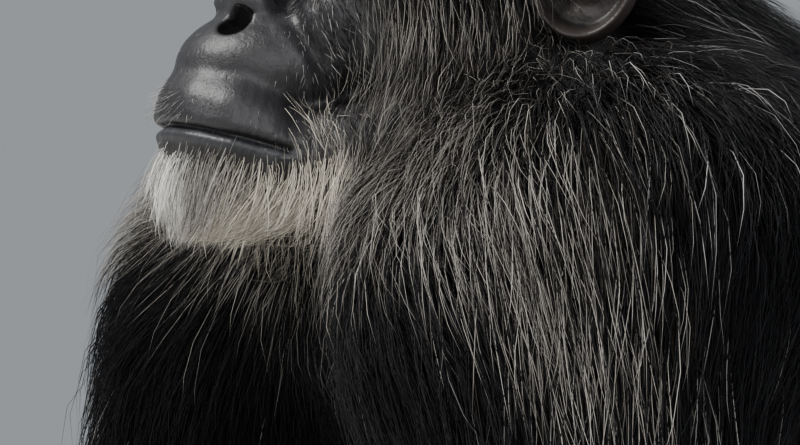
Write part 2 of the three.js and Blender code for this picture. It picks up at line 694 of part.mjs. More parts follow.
// A digit is a chain of straight rounded links, joined.
function digitSolid({ points, radii }, grow) {
  const bend = points.length > 3 ? 1 : points.length - 1;
  const link = (from, to, first) => {
    const way = points.slice(from, to + 1);
    const radius = (i) => (i > 0 ? radii[from + i] : first);
    const rods = way.slice(1).map((p, i) => rod(way[i], p, radius(i), radius(i + 1)));
    const middle = way.length > 2 ? way : [way[0], between(way[0], way[1], 0.5), way[1]];
    const field = fieldOf(rods, 4);
    const sizes = { rings: way.length, sides: FINGER_SIDES, caps: 2 };
    return skinOver(field, spineOf(middle, vec(0, 0, 1)), grow, sizes);
  };
  const whole = link(0, bend, radii[0]);
  return bend < points.length - 1 ? whole.add(link(bend, points.length - 1, radii[bend] * 0.93)) : whole;
}
for (const d of digits) addNode(d.name, (grow) => digitSolid(d, grow), COLOURS.skin, 0.7);

// Seat pads, bare skin under the hips
const PAD = { x: 56, y: 92, radii: [34, 40, 14] };
for (const [side, s] of SIDES)
  addNode(
    "seat_pad_" + side,
    (grow) => eggSolid(vec(s * PAD.x, PAD.y, 11), PAD.radii, grow, 9),
    COLOURS.pad,
    0.8,
  );

// Seams: a flat cut between two nodes, the first of them on the side that the way points to
const seams = [
  ["head", "neck", face(0, -30, -40), vec(0, -0.6, 0.8)],
  ["chest", "belly", vec(0, 0, 300), vec(0, 0, 1)],
];
for (const [side] of SIDES) {
  const { hip, shoulder, elbow, knee, ankle, wrist } = joints[side];
  const bend = (a, b, c) => b.clone().sub(a).normalize().add(c.clone().sub(b).normalize()).normalize();
  seams.push(["forearm_" + side, "upper_arm_" + side, elbow, bend(shoulder, elbow, wrist)]);
  const palm = wrist.clone().add(vec(0, -PALM.long, -20));
  seams.push(["hand_" + side, "forearm_" + side, wrist, bend(elbow, wrist, palm)]);
  seams.push(["shin_" + side, "thigh_" + side, knee, bend(hip, knee, ankle)]);
  seams.push(["shin_" + side, "foot_" + side, ankle.clone().setZ(54), vec(0, 0, 1)]);
  const way = digitWays[side];
  for (const f of FINGERS) seams.push(["finger_" + f.name + "_" + side, "hand_" + side, way.knuckle, way.finger]);
  for (const t of TOES) seams.push(["toe_" + t.name + "_" + side, "foot_" + side, way.toeRoot, way.toe]);
}
const seamOf = (a, b) => seams.find(([p, q]) => (p === a && q === b) || (p === b && q === a));

function trimmed(name, solid, grow = 0) {
  const inset = SEAM / 2 - grow;
  return seams.reduce((made, [ahead, behind, point, way]) => {
    if (ahead === name) return made.trimByPlane(way.toArray(), way.dot(point) + inset);
    if (behind !== name) return made;
    return made.trimByPlane(way.toArray().map((w) => -w), inset - way.dot(point));
  }, solid);
}

// The coat's lie, length and depth, by node
const outward = (p, share) => Math.sign(p.x) * share;
const fromEar = (p) => ({ forward: ear.y - p.y, up: p.z - ear.z });
const nearEar = (p) => {
  const { forward, up } = fromEar(p);
  return Math.hypot(forward + 14, up - 8) < 52 && Math.abs(p.x) > 34;
};
const COATS = {
  neck: {
    rows: [[0.5, 0]],
    around: 12,
    length: 80,
    width: 44,
    rise: 24,
    lie: (p) => vec(outward(p, 0.25), p.y > -20 ? 0.45 : -0.1, -1),
  },
  chest: {
    rows: [[0, 0], [0.33, 0], [0.66, 0], [1, 4], [1, 38]],
    around: 11,
    length: 98,
    width: 60,
    rise: 27,
    lie: (p) => vec(outward(p, 0.3), p.y > 0 ? 0.2 : -0.05, -1),
  },
  belly: {
    rows: [[0.25, 0], [0.62, 0], [0.95, 0]],
    around: 10,
    length: 96,
    width: 62,
    rise: 23,
    lie: (p) => vec(outward(p, 0.15), 0.05, -1),
  },
};
for (const [side] of SIDES) {
  const { hip, shoulder, elbow, knee, ankle, wrist } = joints[side];
  const along = (from, to, sag) => {
    const way = to.clone().sub(from).normalize();
    return () => way.clone().add(vec(0, 0, -sag));
  };
  COATS["upper_arm_" + side] = {
    rows: [[0, -48], [0.04, 0], [0.36, 0], [0.7, 0]],
    around: 6,
    length: 120,
    width: 56,
    rise: 25,
    lie: along(shoulder, elbow, 0.15),
  };
  COATS["forearm_" + side] = {
    rows: [[0.42, 0], [0.88, 0]],
    around: 6,
    length: 96,
    width: 38,
    rise: 18,
    lie: along(wrist, elbow, 0.25),
  };
  COATS["thigh_" + side] = {
    rows: [[0.3, 0], [0.7, 0]],
    around: 7,
    length: 100,
    width: 50,
    rise: 19,
    lie: along(hip, knee, 0.5),
  };
  COATS["shin_" + side] = {
    rows: [[0.12, 0], [0.52, 0]],
    around: 5,
    length: 76,
    width: 38,
    rise: 13,
    lie: along(knee, ankle, 0.1),
  };
}
const BLADE = { thick: 7, sink: 7 };
for (const [name, coat] of Object.entries(COATS)) rowsOfLocks(name, spines[name], { ...BLADE, ...coat });

// The head's hair: back over the crown, down behind the ears
rowsOfLocks("head", headSpine, {
  rows: [[0, -60], [0, -22], [0.12, 0], [0.38, 0]],
  around: 8,
  length: 52,
  width: 38,
  rise: 15,
  thick: 6,
  sink: 5,
  lie: (p) => vec(outward(p, 0.15), 1, fromEar(p).forward < -20 ? -0.9 : -0.15),
  keep: (p) => hairiness(p) > 0.9 && !nearEar(p) && (fromEar(p).up > 12 || fromEar(p).forward < -34),
});
// Cheek whiskers hang from below the eye to below the ear, and curve forward to the throat.
const WHISKERS = { forwards: [76, 50, 24, -2, -28], ups: [-34, -64], length: 46, width: 25, rise: 17, thick: 5, sink: 5 };
for (const [, s] of SIDES)
  for (const up of WHISKERS.ups)
    for (const forward of WHISKERS.forwards) {
      const at = up === WHISKERS.ups[0] ? forward : forward - 8;
      const drop = up - Math.max(0, 16 - Math.abs(at + 14) * 0.4);
      const root = leave(headField, face(0, at, drop), vec(s, 0, 0));
      const lie = () => vec(s * 0.12, at > 12 ? -0.3 : 0.25, -1);
      if (at < 70) addLock("head", root, { ...WHISKERS, lie });
    }
// The beard: short locks round the chin, forward and down
const BEARD = { dips: [-0.28, -1.1], turns: [-78, -52, -26, 0, 26, 52, 78], length: 32, width: 17, rise: 13, thick: 5, sink: 5 };
for (const dip of BEARD.dips)
  for (const turn of BEARD.turns) {
    const angle = THREE.MathUtils.degToRad(turn);
    const way = vec(Math.sin(angle), -Math.cos(angle), dip).normalize();
    const root = leave(headField, face(0, 98, -84), way);
    const lie = () => vec(way.x * 0.25, way.y * 0.45, -1);
    addLock("head", root, { ...BEARD, lie });
  }

const clashes = (a, b) => {
  const [p, q] = [a.boundingBox(), b.boundingBox()];
  return [0, 1, 2].every((i) => p.min[i] <= q.max[i] && q.min[i] <= p.max[i]);
};
const cutBy = (solid, tool) => (solid && tool && clashes(solid, tool) ? solid.subtract(tool) : solid);
const hairOf = (locks, grow) =>
  locks.length ? wasm.Manifold.union(locks.map((k) => lockSolid(k, grow))) : null;

// Nodes are made in this order, and each is cut clear of those before it.
const order = [...nodes.keys()].sort((a, b) => rank(a) - rank(b));
function rank(name) {
  const at = ["eye", "head", "ear", "seat_pad", "neck", "chest", "belly", "upper_arm", "forearm", "thigh", "shin"];
  const i = at.findIndex((n) => name.startsWith(n));
  return i < 0 ? at.length : i;
}
const floorBlock = new THREE.BoxGeometry(2000, 2000, 200).translate(0, 0, -100);
const floor = solidOf(floorBlock);
const cuts = new Map([["head", () => [mouthGroove(), ...nostrils()]]]);
const chimpanzee = new THREE.Group();
const made = [];
for (const name of order) {
  const { base, locks, colour, roughness } = nodes.get(name);
  let body = trimmed(name, base(0));
  let hair = hairOf(locks, 0);
  for (const tool of cuts.get(name)?.() ?? []) body = body.subtract(tool);
  for (const earlier of made) {
    if (!seamOf(name, earlier.name)) body = cutBy(body, earlier.body);
    body = cutBy(body, earlier.hair);
    hair = cutBy(cutBy(hair, earlier.body), earlier.hair);
  }
  const solid = keepLargest((hair ? body.add(hair) : body).subtract(floor));
  made.push({ name, body: trimmed(name, base(GAP), GAP), hair: hairOf(locks, GAP) });
  const { vertProperties, triVerts } = solid.getMesh();
  const geometry = new THREE.BufferGeometry();
  geometry.setAttribute("position", new THREE.BufferAttribute(new Float32Array(vertProperties), 3));
  geometry.setIndex(new THREE.BufferAttribute(new Uint32Array(triVerts), 1));
  const mesh = new THREE.Mesh(geometry, new THREE.MeshStandardMaterial({ color: colour, roughness, metalness: 0 }));
  mesh.name = name;
  chimpanzee.add(mesh);
}
chimpanzee.position.y = -BOX_CENTRE_Y;
chimpanzee.updateMatrixWorld(true);

export default chimpanzee;
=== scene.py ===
import math

import bmesh
import bpy
import numpy as np
from mathutils import Matrix, Vector
from mathutils.kdtree import KDTree


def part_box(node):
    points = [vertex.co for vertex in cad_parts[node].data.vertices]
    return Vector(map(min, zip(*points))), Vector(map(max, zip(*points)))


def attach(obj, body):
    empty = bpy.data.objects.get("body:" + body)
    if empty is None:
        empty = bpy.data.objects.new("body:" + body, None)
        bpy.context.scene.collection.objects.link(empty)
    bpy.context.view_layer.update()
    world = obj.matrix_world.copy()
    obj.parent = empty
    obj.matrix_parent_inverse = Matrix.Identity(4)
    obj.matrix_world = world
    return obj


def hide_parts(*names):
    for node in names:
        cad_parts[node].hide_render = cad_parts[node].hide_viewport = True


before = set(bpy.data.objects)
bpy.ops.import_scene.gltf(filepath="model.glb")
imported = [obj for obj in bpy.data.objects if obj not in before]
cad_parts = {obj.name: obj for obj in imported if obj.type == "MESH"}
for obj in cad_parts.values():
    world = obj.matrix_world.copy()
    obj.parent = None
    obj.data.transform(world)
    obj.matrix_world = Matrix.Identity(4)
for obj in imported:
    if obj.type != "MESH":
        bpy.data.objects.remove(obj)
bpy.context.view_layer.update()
rng = np.random.default_rng(7)
MM = 0.001


# Places, in mm of the row's frame, anchored on the eyes of the frame
def middle(node_name):
    low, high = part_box(node_name)
    return np.array((low + high) / 2) / MM


EYE = {"x": 28, "forward": 71, "up": 24, "radius": 11}
eye_middle = (middle("eye_left") + middle("eye_right")) / 2
# The point midway between the ears' openings, and the floor's point that the body is measured from
ear = eye_middle + np.array([0, EYE["forward"], -EYE["up"]])
EAR_FORWARD, EAR_HEIGHT = 40, 590
ground = ear - np.array([0, -EAR_FORWARD, EAR_HEIGHT])


def face(x, forward, up):
    return ear + np.array([x, -forward, up])


def at(x, y, z):
    return ground + np.array([x, y, z])


# How far points lie forward of the ears and above them, always named f and u
def from_ear(p):
    return ear[1] - p[:, 1], p[:, 2] - ear[2]


def off_middle(p):
    return np.abs(p[:, 0] - ear[0])


# Flesh as tapered rods and stretched balls: (a, b, radius a, radius b, stretch)
def rod(a, b, ra, rb=None, s=(1, 1, 1)):
    return (np.array(a, float), np.array(b, float), ra, ra if rb is None else rb, np.array(s, float))


def ball(a, radii):
    return rod(a, a, 1, 1, radii)


def distance(mass, p):
    a, b, ra, rb, s = mass
    q = (p - a) / s
    v = (b - a) / s
    vv = float(v @ v)
    if vv > 0:
        t = np.clip(q @ v / vv, 0, 1)
        q = q - t[:, None] * v
        r = ra + t * (rb - ra)
    else:
        r = ra
    length = np.sqrt(np.einsum("ij,ij->i", q, q)) + 1e-6
    g = q / length[:, None] / s
    return (length - r) / np.sqrt(np.einsum("ij,ij->i", g, g) + 1e-12)


def smooth_min(a, b, k):
    h = np.maximum(k - np.abs(a - b), 0) / k
    return np.minimum(a, b) - h * h * k / 4


# Each mass is only worked out where a point lies within REACH of its own box
REACH = 60


def blend(masses, p, k):
    d = np.full(len(p), 1e3)
    for m in masses:
        a, b, ra, rb, s = m
        wide = max(ra, rb) * s + REACH
        near = np.all((p > np.minimum(a, b) - wide) & (p < np.maximum(a, b) + wide), axis=1)
        if near.any():
            d[near] = smooth_min(d[near], distance(m, p[near]), k)
    return d


def smooth(x, a, b):
    t = np.clip((x - a) / (b - a), 0, 1)
    return t * t * (3 - 2 * t)


def mix(a, b, t):
    return a + (b - a) * t


def bell(x, wide):
    return np.exp(-((x / wide) ** 2))


def unit(v):
    return v / (np.linalg.norm(v, axis=-1)[..., None] + 1e-9)


# The head
LIP = {"front": -59, "corner": -70, "corner_forward": 107, "half": 41, "front_forward": 144.5}


def lip_arc(x, inset, drop):
    bow = math.sqrt(max(0, 1 - (abs(x) / LIP["half"]) ** 2))
    forward = mix(LIP["corner_forward"], LIP["front_forward"], bow)
    up = mix(LIP["corner"], LIP["front"], bow)
    return face(x * (1 - inset / LIP["half"]), forward - inset * bow, up + drop)


def lip_rods(inset, drop, radius):
    xs = [LIP["half"] * math.sin(math.radians(a)) for a in (-78, -52, -26, 0, 26, 52, 78)]
    points = [lip_arc(x, inset, drop) for x in xs]
    return [rod(p, q, radius) for p, q in zip(points, points[1:])]


head_masses = [
    ball(face(0, -20, 26), [61, 74, 54]),
    ball(face(0, -46, 14), [52, 52, 46]),
    ball(face(0, 33, 30), [50, 47, 38]),
    rod(face(0, 80, 22), face(0, 111, -3), 10, 8),
    ball(face(0, 50, -4), [44, 42, 42]),
    ball(face(0, 96, -35), [37, 44, 27]),
    ball(face(0, 92, -74), [34, 48, 23]),
    ball(face(0, 124, -82), [21, 16, 15]),
    *lip_rods(11, 8, 12),
    *lip_rods(9, -8, 8),
]
for s in (1, -1):
    head_masses += [
        rod(face(s * 46, 60, 0), face(s * 61, 14, 4), 15, 12),
        rod(face(s * 30, 76, -14), face(s * 50, 22, -50), 19, 20),
        rod(face(s * 26, 100, -74), face(s * 50, 20, -62), 18, 24),
        ball(face(s * 12, 111, -7), [9, 8, 8]),
    ]
BROW = ((57, 56, 24), (42, 74, 38), (20, 81, 42))
brow_points = [face(-x, f, u) for x, f, u in BROW] + [face(0, 80, 39)]
brow_points += [face(x, f, u) for x, f, u in reversed(BROW)]
brow_masses = [rod(p, q, 10) for p, q in zip(brow_points, brow_points[1:])]
# The masses that carry the head's own coat: crown, nape, forehead, middle of the face and jaw
SKULL = [head_masses[i] for i in (0, 1, 2, 4, 6)]
eyes = {side: face(s * EYE["x"], EYE["forward"], EYE["up"]) for side, s in (("left", 1), ("right", -1))}


def head_field(p):
    d = smooth_min(blend(head_masses, p, 9), blend(brow_masses, p, 9), 17)
    for s in (1, -1):
        d = -smooth_min(-d, distance(ball(face(s * 30, 92, 21), [18, 17, 13]), p), 9)
    return d


# The body, its joints at x, y and z on the left side
UPPER_ARM = 295
HIP = (85, 60, 95)
SHOULDER = (152, -55, 470)
KNEE = (125, -160, 265)
ANKLE = (108, -225, 44)
WRIST = (196, -330, 84)
joints = {}
neck_masses = [
    rod(face(0, -18, -15), at(0, 15, 500), 62, 84),
    rod(face(0, -64, -16), at(0, 84, 505), 40, 58),
    rod(face(0, 34, -62), at(0, -60, 470), 40, 52),
]
chest_masses = [
    ball(at(0, 42, 400), [142, 118, 158]),
    rod(at(-112, 32, 486), at(112, 32, 486), 60),
    rod(at(-70, 88, 440), at(70, 88, 440), 74),
    rod(at(-62, -38, 430), at(62, -38, 430), 56),
]
belly_masses = [
    ball(at(0, 38, 226), [128, 116, 130]),
    ball(at(0, 60, 98), [122, 98, 88]),
    rod(at(-58, 92, 42), at(58, 92, 42), 40),
]
upper_arm_masses, forearm_masses, leg_masses = [], [], []
for side, s, ahead in (("left", 1, 0.16), ("right", -1, 0.25)):
    hip, shoulder, knee, ankle, wrist = (at(s * x, y, z) for x, y, z in (HIP, SHOULDER, KNEE, ANKLE, WRIST))
    down = np.array([s * 0.36, -ahead, -1])
    elbow = shoulder + down / np.linalg.norm(down) * UPPER_ARM
    joints[side] = dict(shoulder=shoulder, elbow=elbow, wrist=wrist, hip=hip, knee=knee, ankle=ankle)
    upper_arm_masses += [
        rod(shoulder, elbow, 52, 40),
        ball(shoulder + [s * 6, 4, -14], [60, 64, 72]),
        rod(mix(shoulder, elbow, 0.3), mix(shoulder, elbow, 0.8), 51, 43),
    ]
    forearm_masses += [
        rod(elbow, wrist, 41, 25),
        rod(mix(elbow, wrist, 0.12), mix(elbow, wrist, 0.5), 46, 37),
    ]
    leg_masses += [
        rod(hip, knee, 70, 48),
        rod(mix(hip, knee, 0.2), mix(hip, knee, 0.75), 70, 58),
        rod(knee, ankle, 45, 27),
        ball(mix(knee, ankle, 0.35) + [0, 14, 0], [38, 38, 64]),
    ]
body_masses = neck_masses + chest_masses + belly_masses + upper_arm_masses + forearm_masses + leg_masses


SEAT_PAD = (56, 92)


def level(p, z):
    return np.array([p[0], p[1], ground[2] + z])


# Hands on their curled knuckles, feet flat; every digit is a chain of points with radii
extremities = []
digits = []
for side, s in (("left", 1), ("right", -1)):
    ankle, wrist = joints[side]["ankle"], joints[side]["wrist"]
    inward = np.array([-s, 0, 0])
    forward = np.array([s * -0.1, -1, 0]) / math.hypot(0.1, 1)
    knuckle = level(wrist + forward * 82, 58)
    extremities += [
        rod(wrist, mix(wrist, knuckle, 0.5), 23, 22, [1.15, 1, 0.9]),
        rod(level(knuckle + inward * 27.6, 55), level(knuckle - inward * 27.6, 52), 16),
        rod(mix(wrist, knuckle, 0.35), knuckle, 19, 18, [1.7, 1, 1]),
    ]
    for across, reach, size in ((1, 0, 10), (0.34, 6, 10.2), (-0.34, 3, 10), (-1, -8, 9.4)):
        base = level(knuckle + inward * 34.5 * across, 54)
        bend = level(base + forward * (34 + reach), size + 3)
        fold = level(bend - forward * 30, size)
        tip = level(fold - forward * 13, size + 9)
        digits.append(([base, bend, fold, tip], [size + 0.3, size, size - 0.6, size - 2], "finger"))
    thumb_base = mix(wrist, knuckle, 0.35) + inward * 24
    thumb_end = level(knuckle + inward * 44 - forward * 18, 31)
    thumb_bend = level(mix(thumb_base, thumb_end, 0.5), 56)
    digits.append(([thumb_base, thumb_bend, thumb_end], [13, 10.5, 9], "thumb"))
    heel = level(ankle + [-s * 2, 32, 0], 26)
    toe_way = np.array([s * 0.16, -1, 0]) / math.hypot(0.16, 1)
    toe_root = level(ankle + toe_way * 118, 20)
    extremities += [
        rod(ankle, heel, 27, 25),
        rod(ankle, mix(ankle, toe_root, 0.6), 26, 21, [1.2, 1, 1]),
        rod(heel, mix(heel, toe_root, 0.6), 22, 20, [1.35, 1, 1]),
        rod(level(toe_root + inward * 24.7, 19), level(toe_root - inward * 24.7, 19), 17.5),
        rod(level(mix(heel, toe_root, 0.5), 20), toe_root, 19, 17, [1.7, 1, 1]),
    ]
    for across, long in ((0.95, 66), (0.32, 70), (-0.32, 66), (-0.95, 56)):
        base = level(toe_root + inward * 33 * across, 18)
        tip = level(base + toe_way * (long - 10), 10.5)
        digits.append(([base, level(base + toe_way * long * 0.55, 20), tip], [10.1, 9.8, 8.8], "toe"))
    great_root = level(mix(heel, toe_root, 0.62) + inward * 22, 20)
    great_tip = great_root + [-s * 44, -58, -6]
    great_bend = level(mix(great_root, great_tip, 0.55), 19)
    digits.append(([great_root, great_bend, great_tip], [17, 14, 13], "great"))
    extremities.append(ball(at(s * SEAT_PAD[0], SEAT_PAD[1], 13), [34, 40, 13]))
for points, radii, kind in digits:
    extremities += [rod(p, q, ra, rb) for p, q, ra, rb in zip(points, points[1:], radii, radii[1:])]


mane_masses = []
for s in (1, -1):
    mane_masses += [
        rod(face(s * 62, -14, -52), at(s * 132, -22, 470), 40, 50),
        rod(face(s * 48, 32, -74), at(s * 126, -96, 436), 38, 50),
    ]


# The level that the coat lies over: the mane bridges the hollows between neck, shoulders and chest
def coat_surface(p):
    d = smooth_min(head_field(p), blend(neck_masses + mane_masses, p, 30), 30)
    d = smooth_min(d, blend(chest_masses, p, 22), 50)
    d = smooth_min(d, blend(upper_arm_masses, p, 22), 62)
    d = smooth_min(d, blend(belly_masses, p, 22), 30)
    d = smooth_min(d, blend(forearm_masses, p, 22), 24)
    d = smooth_min(d, blend(leg_masses, p, 22), 26)
    for s in (1, -1):
        ear_room = distance(ball(face(s * 106, -17, 16), [27, 36, 42]), p)
        d = -smooth_min(-d, ear_room, 8)
    return d


def flesh(p):
    body = smooth_min(head_field(p), blend(body_masses, p, 22), 14)
    return carve_face(smooth_min(body, blend(extremities, p, 5), 6), p)


def nostril_rod(s):
    return rod(face(s * 15, 121, -17), face(s * 11, 105, -6), 6.2, 3.6)


def carve_face(d, p):
    f, u = from_ear(p)
    near = (f > 40) & (u > -120)
    if not near.any():
        return d
    d = d.copy()
    q = p[near]
    e = d[near]
    for s in (1, -1):
        lids = distance(ball(face(s * EYE["x"], EYE["forward"], EYE["up"]), [13.4, 13, 12.6]), q)
        e = smooth_min(e, lids, 3)
        slit = distance(ball(face(s * EYE["x"], EYE["forward"] + 11, EYE["up"] - 1), [10.5, 9, 4.4]), q)
        e = -smooth_min(-e, slit, 1.5)
        nostril = distance(nostril_rod(s), q)
        e = -smooth_min(-e, nostril, 3)
    d[near] = e
    return d


def slope(field, p, e=0.7):
    here = field(p)
    g = np.stack([field(p + np.eye(3)[i] * e) - here for i in range(3)], 1)
    return here, g / (np.linalg.norm(g, axis=1)[:, None] + 1e-9)


# The body's field kept on a coarse grid, for the laying of the coat
class Grid:
    def __init__(self, field, low, high, step):
        self.low, self.step = np.array(low, float), step
        self.n = np.ceil((np.array(high) - low) / step).astype(int) + 1
        axes = [self.low[i] + np.arange(self.n[i]) * step for i in range(3)]
        points = np.stack(np.meshgrid(*axes, indexing="ij"), -1).reshape(-1, 3)
        values = np.concatenate([field(part) for part in np.array_split(points, 24)])
        self.values = values.reshape(self.n).astype(np.float32)
        self.grads = np.stack(np.gradient(self.values, step), -1)

    def read(self, p):
        q = np.clip((p - self.low) / self.step, 0, self.n - 1.001)
        i = q.astype(int)
        f = q - i
        d = np.zeros(len(p))
        g = np.zeros((len(p), 3))
        for corner in range(8):
            c = np.array([corner >> 2 & 1, corner >> 1 & 1, corner & 1])
            w = np.prod(np.where(c, f, 1 - f), axis=1)
            j = i + c
            d += w * self.values[j[:, 0], j[:, 1], j[:, 2]]
            g += w[:, None] * self.grads[j[:, 0], j[:, 1], j[:, 2]]
        return d, g / (np.linalg.norm(g, axis=1)[:, None] + 1e-9)


# Mesh helpers
def mesh_of(bm, name):
    mesh = bpy.data.meshes.new(name)
    bm.to_mesh(mesh)
    bm.free()
    return mesh


def stand(name, data):
    obj = bpy.data.objects.new(name, data)
    bpy.context.scene.collection.objects.link(obj)
    return obj


# The mesh of an object with its modifiers applied, in place of the object
def settle(obj):
    result = bpy.data.meshes.new_from_object(obj.evaluated_get(bpy.context.evaluated_depsgraph_get()))
    bpy.data.objects.remove(obj)
    return result


def show(name, mesh, material, node_names):
    obj = stand(name, mesh)
    mesh.materials.append(material)
    mesh.shade_smooth()
    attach(obj, "root")
    if node_names:
        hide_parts(*node_names)


def points_of(mesh):
    flat = np.empty(len(mesh.vertices) * 3)
    mesh.vertices.foreach_get("co", flat)
    return flat.reshape(-1, 3) / MM


def set_points(mesh, p):
    mesh.vertices.foreach_set("co", (p * MM).ravel())
    mesh.update()


def set_values(mesh, name, values, kind="FLOAT"):
    layer = mesh.attributes.new(name, kind, "POINT")
    layer.data.foreach_set("color" if kind == "FLOAT_COLOR" else "value", np.asarray(values, float).ravel())


# One skin: balls along every mass, remeshed as one surface and drawn onto the field
SKIN_STEP = 6


def rough_body(masses):
    round_ball = bpy.data.meshes.new("round_ball")
    bm = bmesh.new()
    bmesh.ops.create_icosphere(bm, subdivisions=2, radius=1)
    bm.to_mesh(round_ball)
    bm.clear()
    for a, b, ra, rb, s in masses:
        long = np.linalg.norm(b - a)
        count = max(1, int(long / (0.35 * min(ra * s.min(), rb * s.min()) + 2)) + 1) if long else 1
        for i in range(count):
            t = i / max(1, count - 1)
            copy = round_ball.copy()
            place, size = Vector(mix(a, b, t) * MM), Vector(s * mix(ra, rb, t) * MM)
            copy.transform(Matrix.LocRotScale(place, None, size))
            bm.from_mesh(copy)
            bpy.data.meshes.remove(copy)
    obj = stand("rough", mesh_of(bm, "rough"))
    remesh = obj.modifiers.new("one_skin", "REMESH")
    remesh.mode = "VOXEL"
    remesh.voxel_size = SKIN_STEP * MM
    return settle(obj)


def draw_on(mesh, steps, field=flesh, most=4):
    p = points_of(mesh)
    for _ in range(steps):
        d, g = slope(field, p)
        p = p - np.clip(d, -most, most)[:, None] * g
    p[:, 2] = np.maximum(p[:, 2], ground[2] + 0.2)
    set_points(mesh, p)
    return p


def refine(mesh, wanted):
    bm = bmesh.new()
    bm.from_mesh(mesh)
    bm.edges.ensure_lookup_table()
    mids = np.array([(e.verts[0].co + e.verts[1].co) / 2 for e in bm.edges]) / MM
    chosen = wanted(mids)
    edges = [e for e, c in zip(bm.edges, chosen) if c]
    bmesh.ops.subdivide_edges(bm, edges=edges, cuts=1, use_grid_fill=True)
    bm.to_mesh(mesh)
    bm.free()


def on_face(p):
    f, u = from_ear(p)
    return (f > 52) & (u > -112) & (u < 62)


def on_muzzle(p):
    f, u = from_ear(p)
    muzzle = (f > 96) & (u > -86) & (u < 6)
    between_eyes = (f > 66) & (u > 6) & (u < 42) & (off_middle(p) < 50)
    return muzzle | between_eyes


def near_eyes_or_nostrils(p):
    out = np.zeros(len(p), bool)
    for s in (1, -1):
        eye = np.linalg.norm((p - face(s * EYE["x"], EYE["forward"] + 9, EYE["up"])) / [1, 1, 0.75], axis=1)
        out |= (eye < 16) | (distance(nostril_rod(s), p) < 3.5)
    return out


def on_hands_and_feet(p):
    return (p[:, 2] < ground[2] + 74) & (p[:, 1] < joints["left"]["ankle"][1] + 10)


def mouth_line():
    xs = [LIP["half"] * 1.04 * math.sin(u * math.pi / 2.1) for u in np.linspace(-1, 1, 41)]
    line = np.array([lip_arc(x, 0, 0) for x in xs])
    for _ in range(6):
        d, g = slope(flesh, line)
        line = line - d[:, None] * g
    return line


# Folds of the face on each side: points, width and depth in mm
FOLDS = (
    ([(22, 110, 4), (29, 103, -10), (37, 92, -30), (43, 84, -52)], 2.6, 1.6),
    ([(34, 97, -2), (45, 82, -24), (49, 70, -44)], 2.2, 0.9),
    ([(13, 92, 14), (20, 92, 6), (31, 88, 5), (41, 77, 12)], 1.7, 1.0),
    ([(12, 96, 8), (21, 95, -1), (33, 88, -2), (45, 74, 8)], 2.0, 0.9),
    ([(15, 94, 33), (26, 93, 35), (37, 86, 31), (43, 76, 24)], 1.5, 0.9),
    ([(0, 101, 30), (1, 103, 22)], 1.6, 0.9),
    ([(7, 99, 31), (6, 103, 23)], 1.6, 0.8),
)


def fold_face(mesh):
    p = points_of(mesh)
    f, u = from_ear(p)
    near = np.where((f > 60) & (u > -70) & (u < 50))[0]
    q = p[near]
    _, g = slope(flesh, q)
    push = np.zeros(len(q))
    for points, width, depth in FOLDS:
        for s in (1, -1):
            line = [face(s * x, a, b) for x, a, b in points]
            apart = np.min([distance(rod(m, n, 0), q) for m, n in zip(line, line[1:])], axis=0)
            push -= depth * bell(apart, width)
            push += 0.4 * depth * bell(apart - 2.6 * width, width)
    p[near] = q + push[:, None] * g
    set_points(mesh, p)
    # Painted shade: the skin's colour darkens in each fold and lightens a little on the ridges beside it
    painted_fold_shade = np.zeros(len(p))
    painted_fold_shade[near] = push
    return painted_fold_shade


def near_line(p, line):
    out = np.full(len(p), 1e3)
    box = np.all((p > line.min(0) - 9) & (p < line.max(0) + 9), axis=1)
    if box.any():
        out[box] = np.min([distance(rod(m, n, 0), p[box]) for m, n in zip(line, line[1:])], axis=0)
    return out


def carve_mouth(mesh, line):
    p = points_of(mesh)
    f, u = from_ear(p)
    near = np.where((f > 88) & (u > -95) & (u < -16))[0]
    q = p[near]
    apart = np.linalg.norm(q[:, None, :] - line[None, :, :], axis=2)
    which = apart.argmin(1)
    dist = near_line(q, line)
    ahead = np.gradient(line, axis=0)
    ahead /= np.linalg.norm(ahead, axis=1)[:, None] ** 2
    place = which + np.einsum("ij,ij->i", q - line[which], ahead[which])
    over = q[:, 2] - line[which, 2]
    _, g = slope(flesh, q)
    push = -3.2 * bell(dist, 1.3)
    push += 1.2 * bell(over - 4.0, 3.4) * smooth(dist, 14, 8)
    push += 1.0 * bell(over + 3.8, 2.2) * smooth(dist, 10, 6)
    p[near] = q + push[:, None] * g
    set_points(mesh, p)
    lips = np.zeros(len(p))
    lips[near] = smooth(dist, 7.5, 5.5) * smooth(over, 0.5, -0.5)
    wrinkle = np.zeros(len(p))
    wrinkle[near] = bell(over, np.where(over > 0, 24, 10)) * smooth(f[near], 94, 108)
    along = np.zeros(len(p))
    along[near] = place / len(line)
    return lips, wrinkle, along


# From 0 on bare skin to 1 where the coat is full
def hairiness(p):
    f, u = from_ear(p)
    over = smooth(u, 10, 44)
    line = smooth(f, 92 - 3 * over, 46 + 28 * over)
    under_lip = mix(LIP["corner"], LIP["front"] - 6.5, smooth(f, 96, 138))
    low = smooth(u - under_lip, 5, 0) * (f > 20)
    # Sparse hair runs up the side of the muzzle from the corner of the mouth
    side = 0.36 * smooth(f, 124, 94) * smooth(u, -30, -58) * (f > 20)
    return np.maximum(np.maximum(line, smooth(u, 44, 57)), np.maximum(low, side))


def shade(r, g, b):
    return np.array([r, g, b])


DARK = shade(0.008, 0.007, 0.007)
GREY_SKIN = shade(0.017, 0.0165, 0.019)
LIP_SKIN = shade(0.022, 0.0225, 0.026)
SOLE_SKIN = shade(0.03, 0.024, 0.022)
PAD_SKIN = shade(0.2, 0.13, 0.11)
EAR_SKIN = shade(0.034, 0.027, 0.025)
# Painted shade for the ear's hollow, groove and bowl
EAR_PAINTED_SHADE = shade(0.005, 0.004, 0.004)
# Painted shade inside the nostrils
NOSTRIL_PAINTED_SHADE = shade(0.004, 0.004, 0.004)
# Level of the highlights: none inside the nostrils
SKIN_GLOSS, EAR_GLOSS = 0.44, 0.35


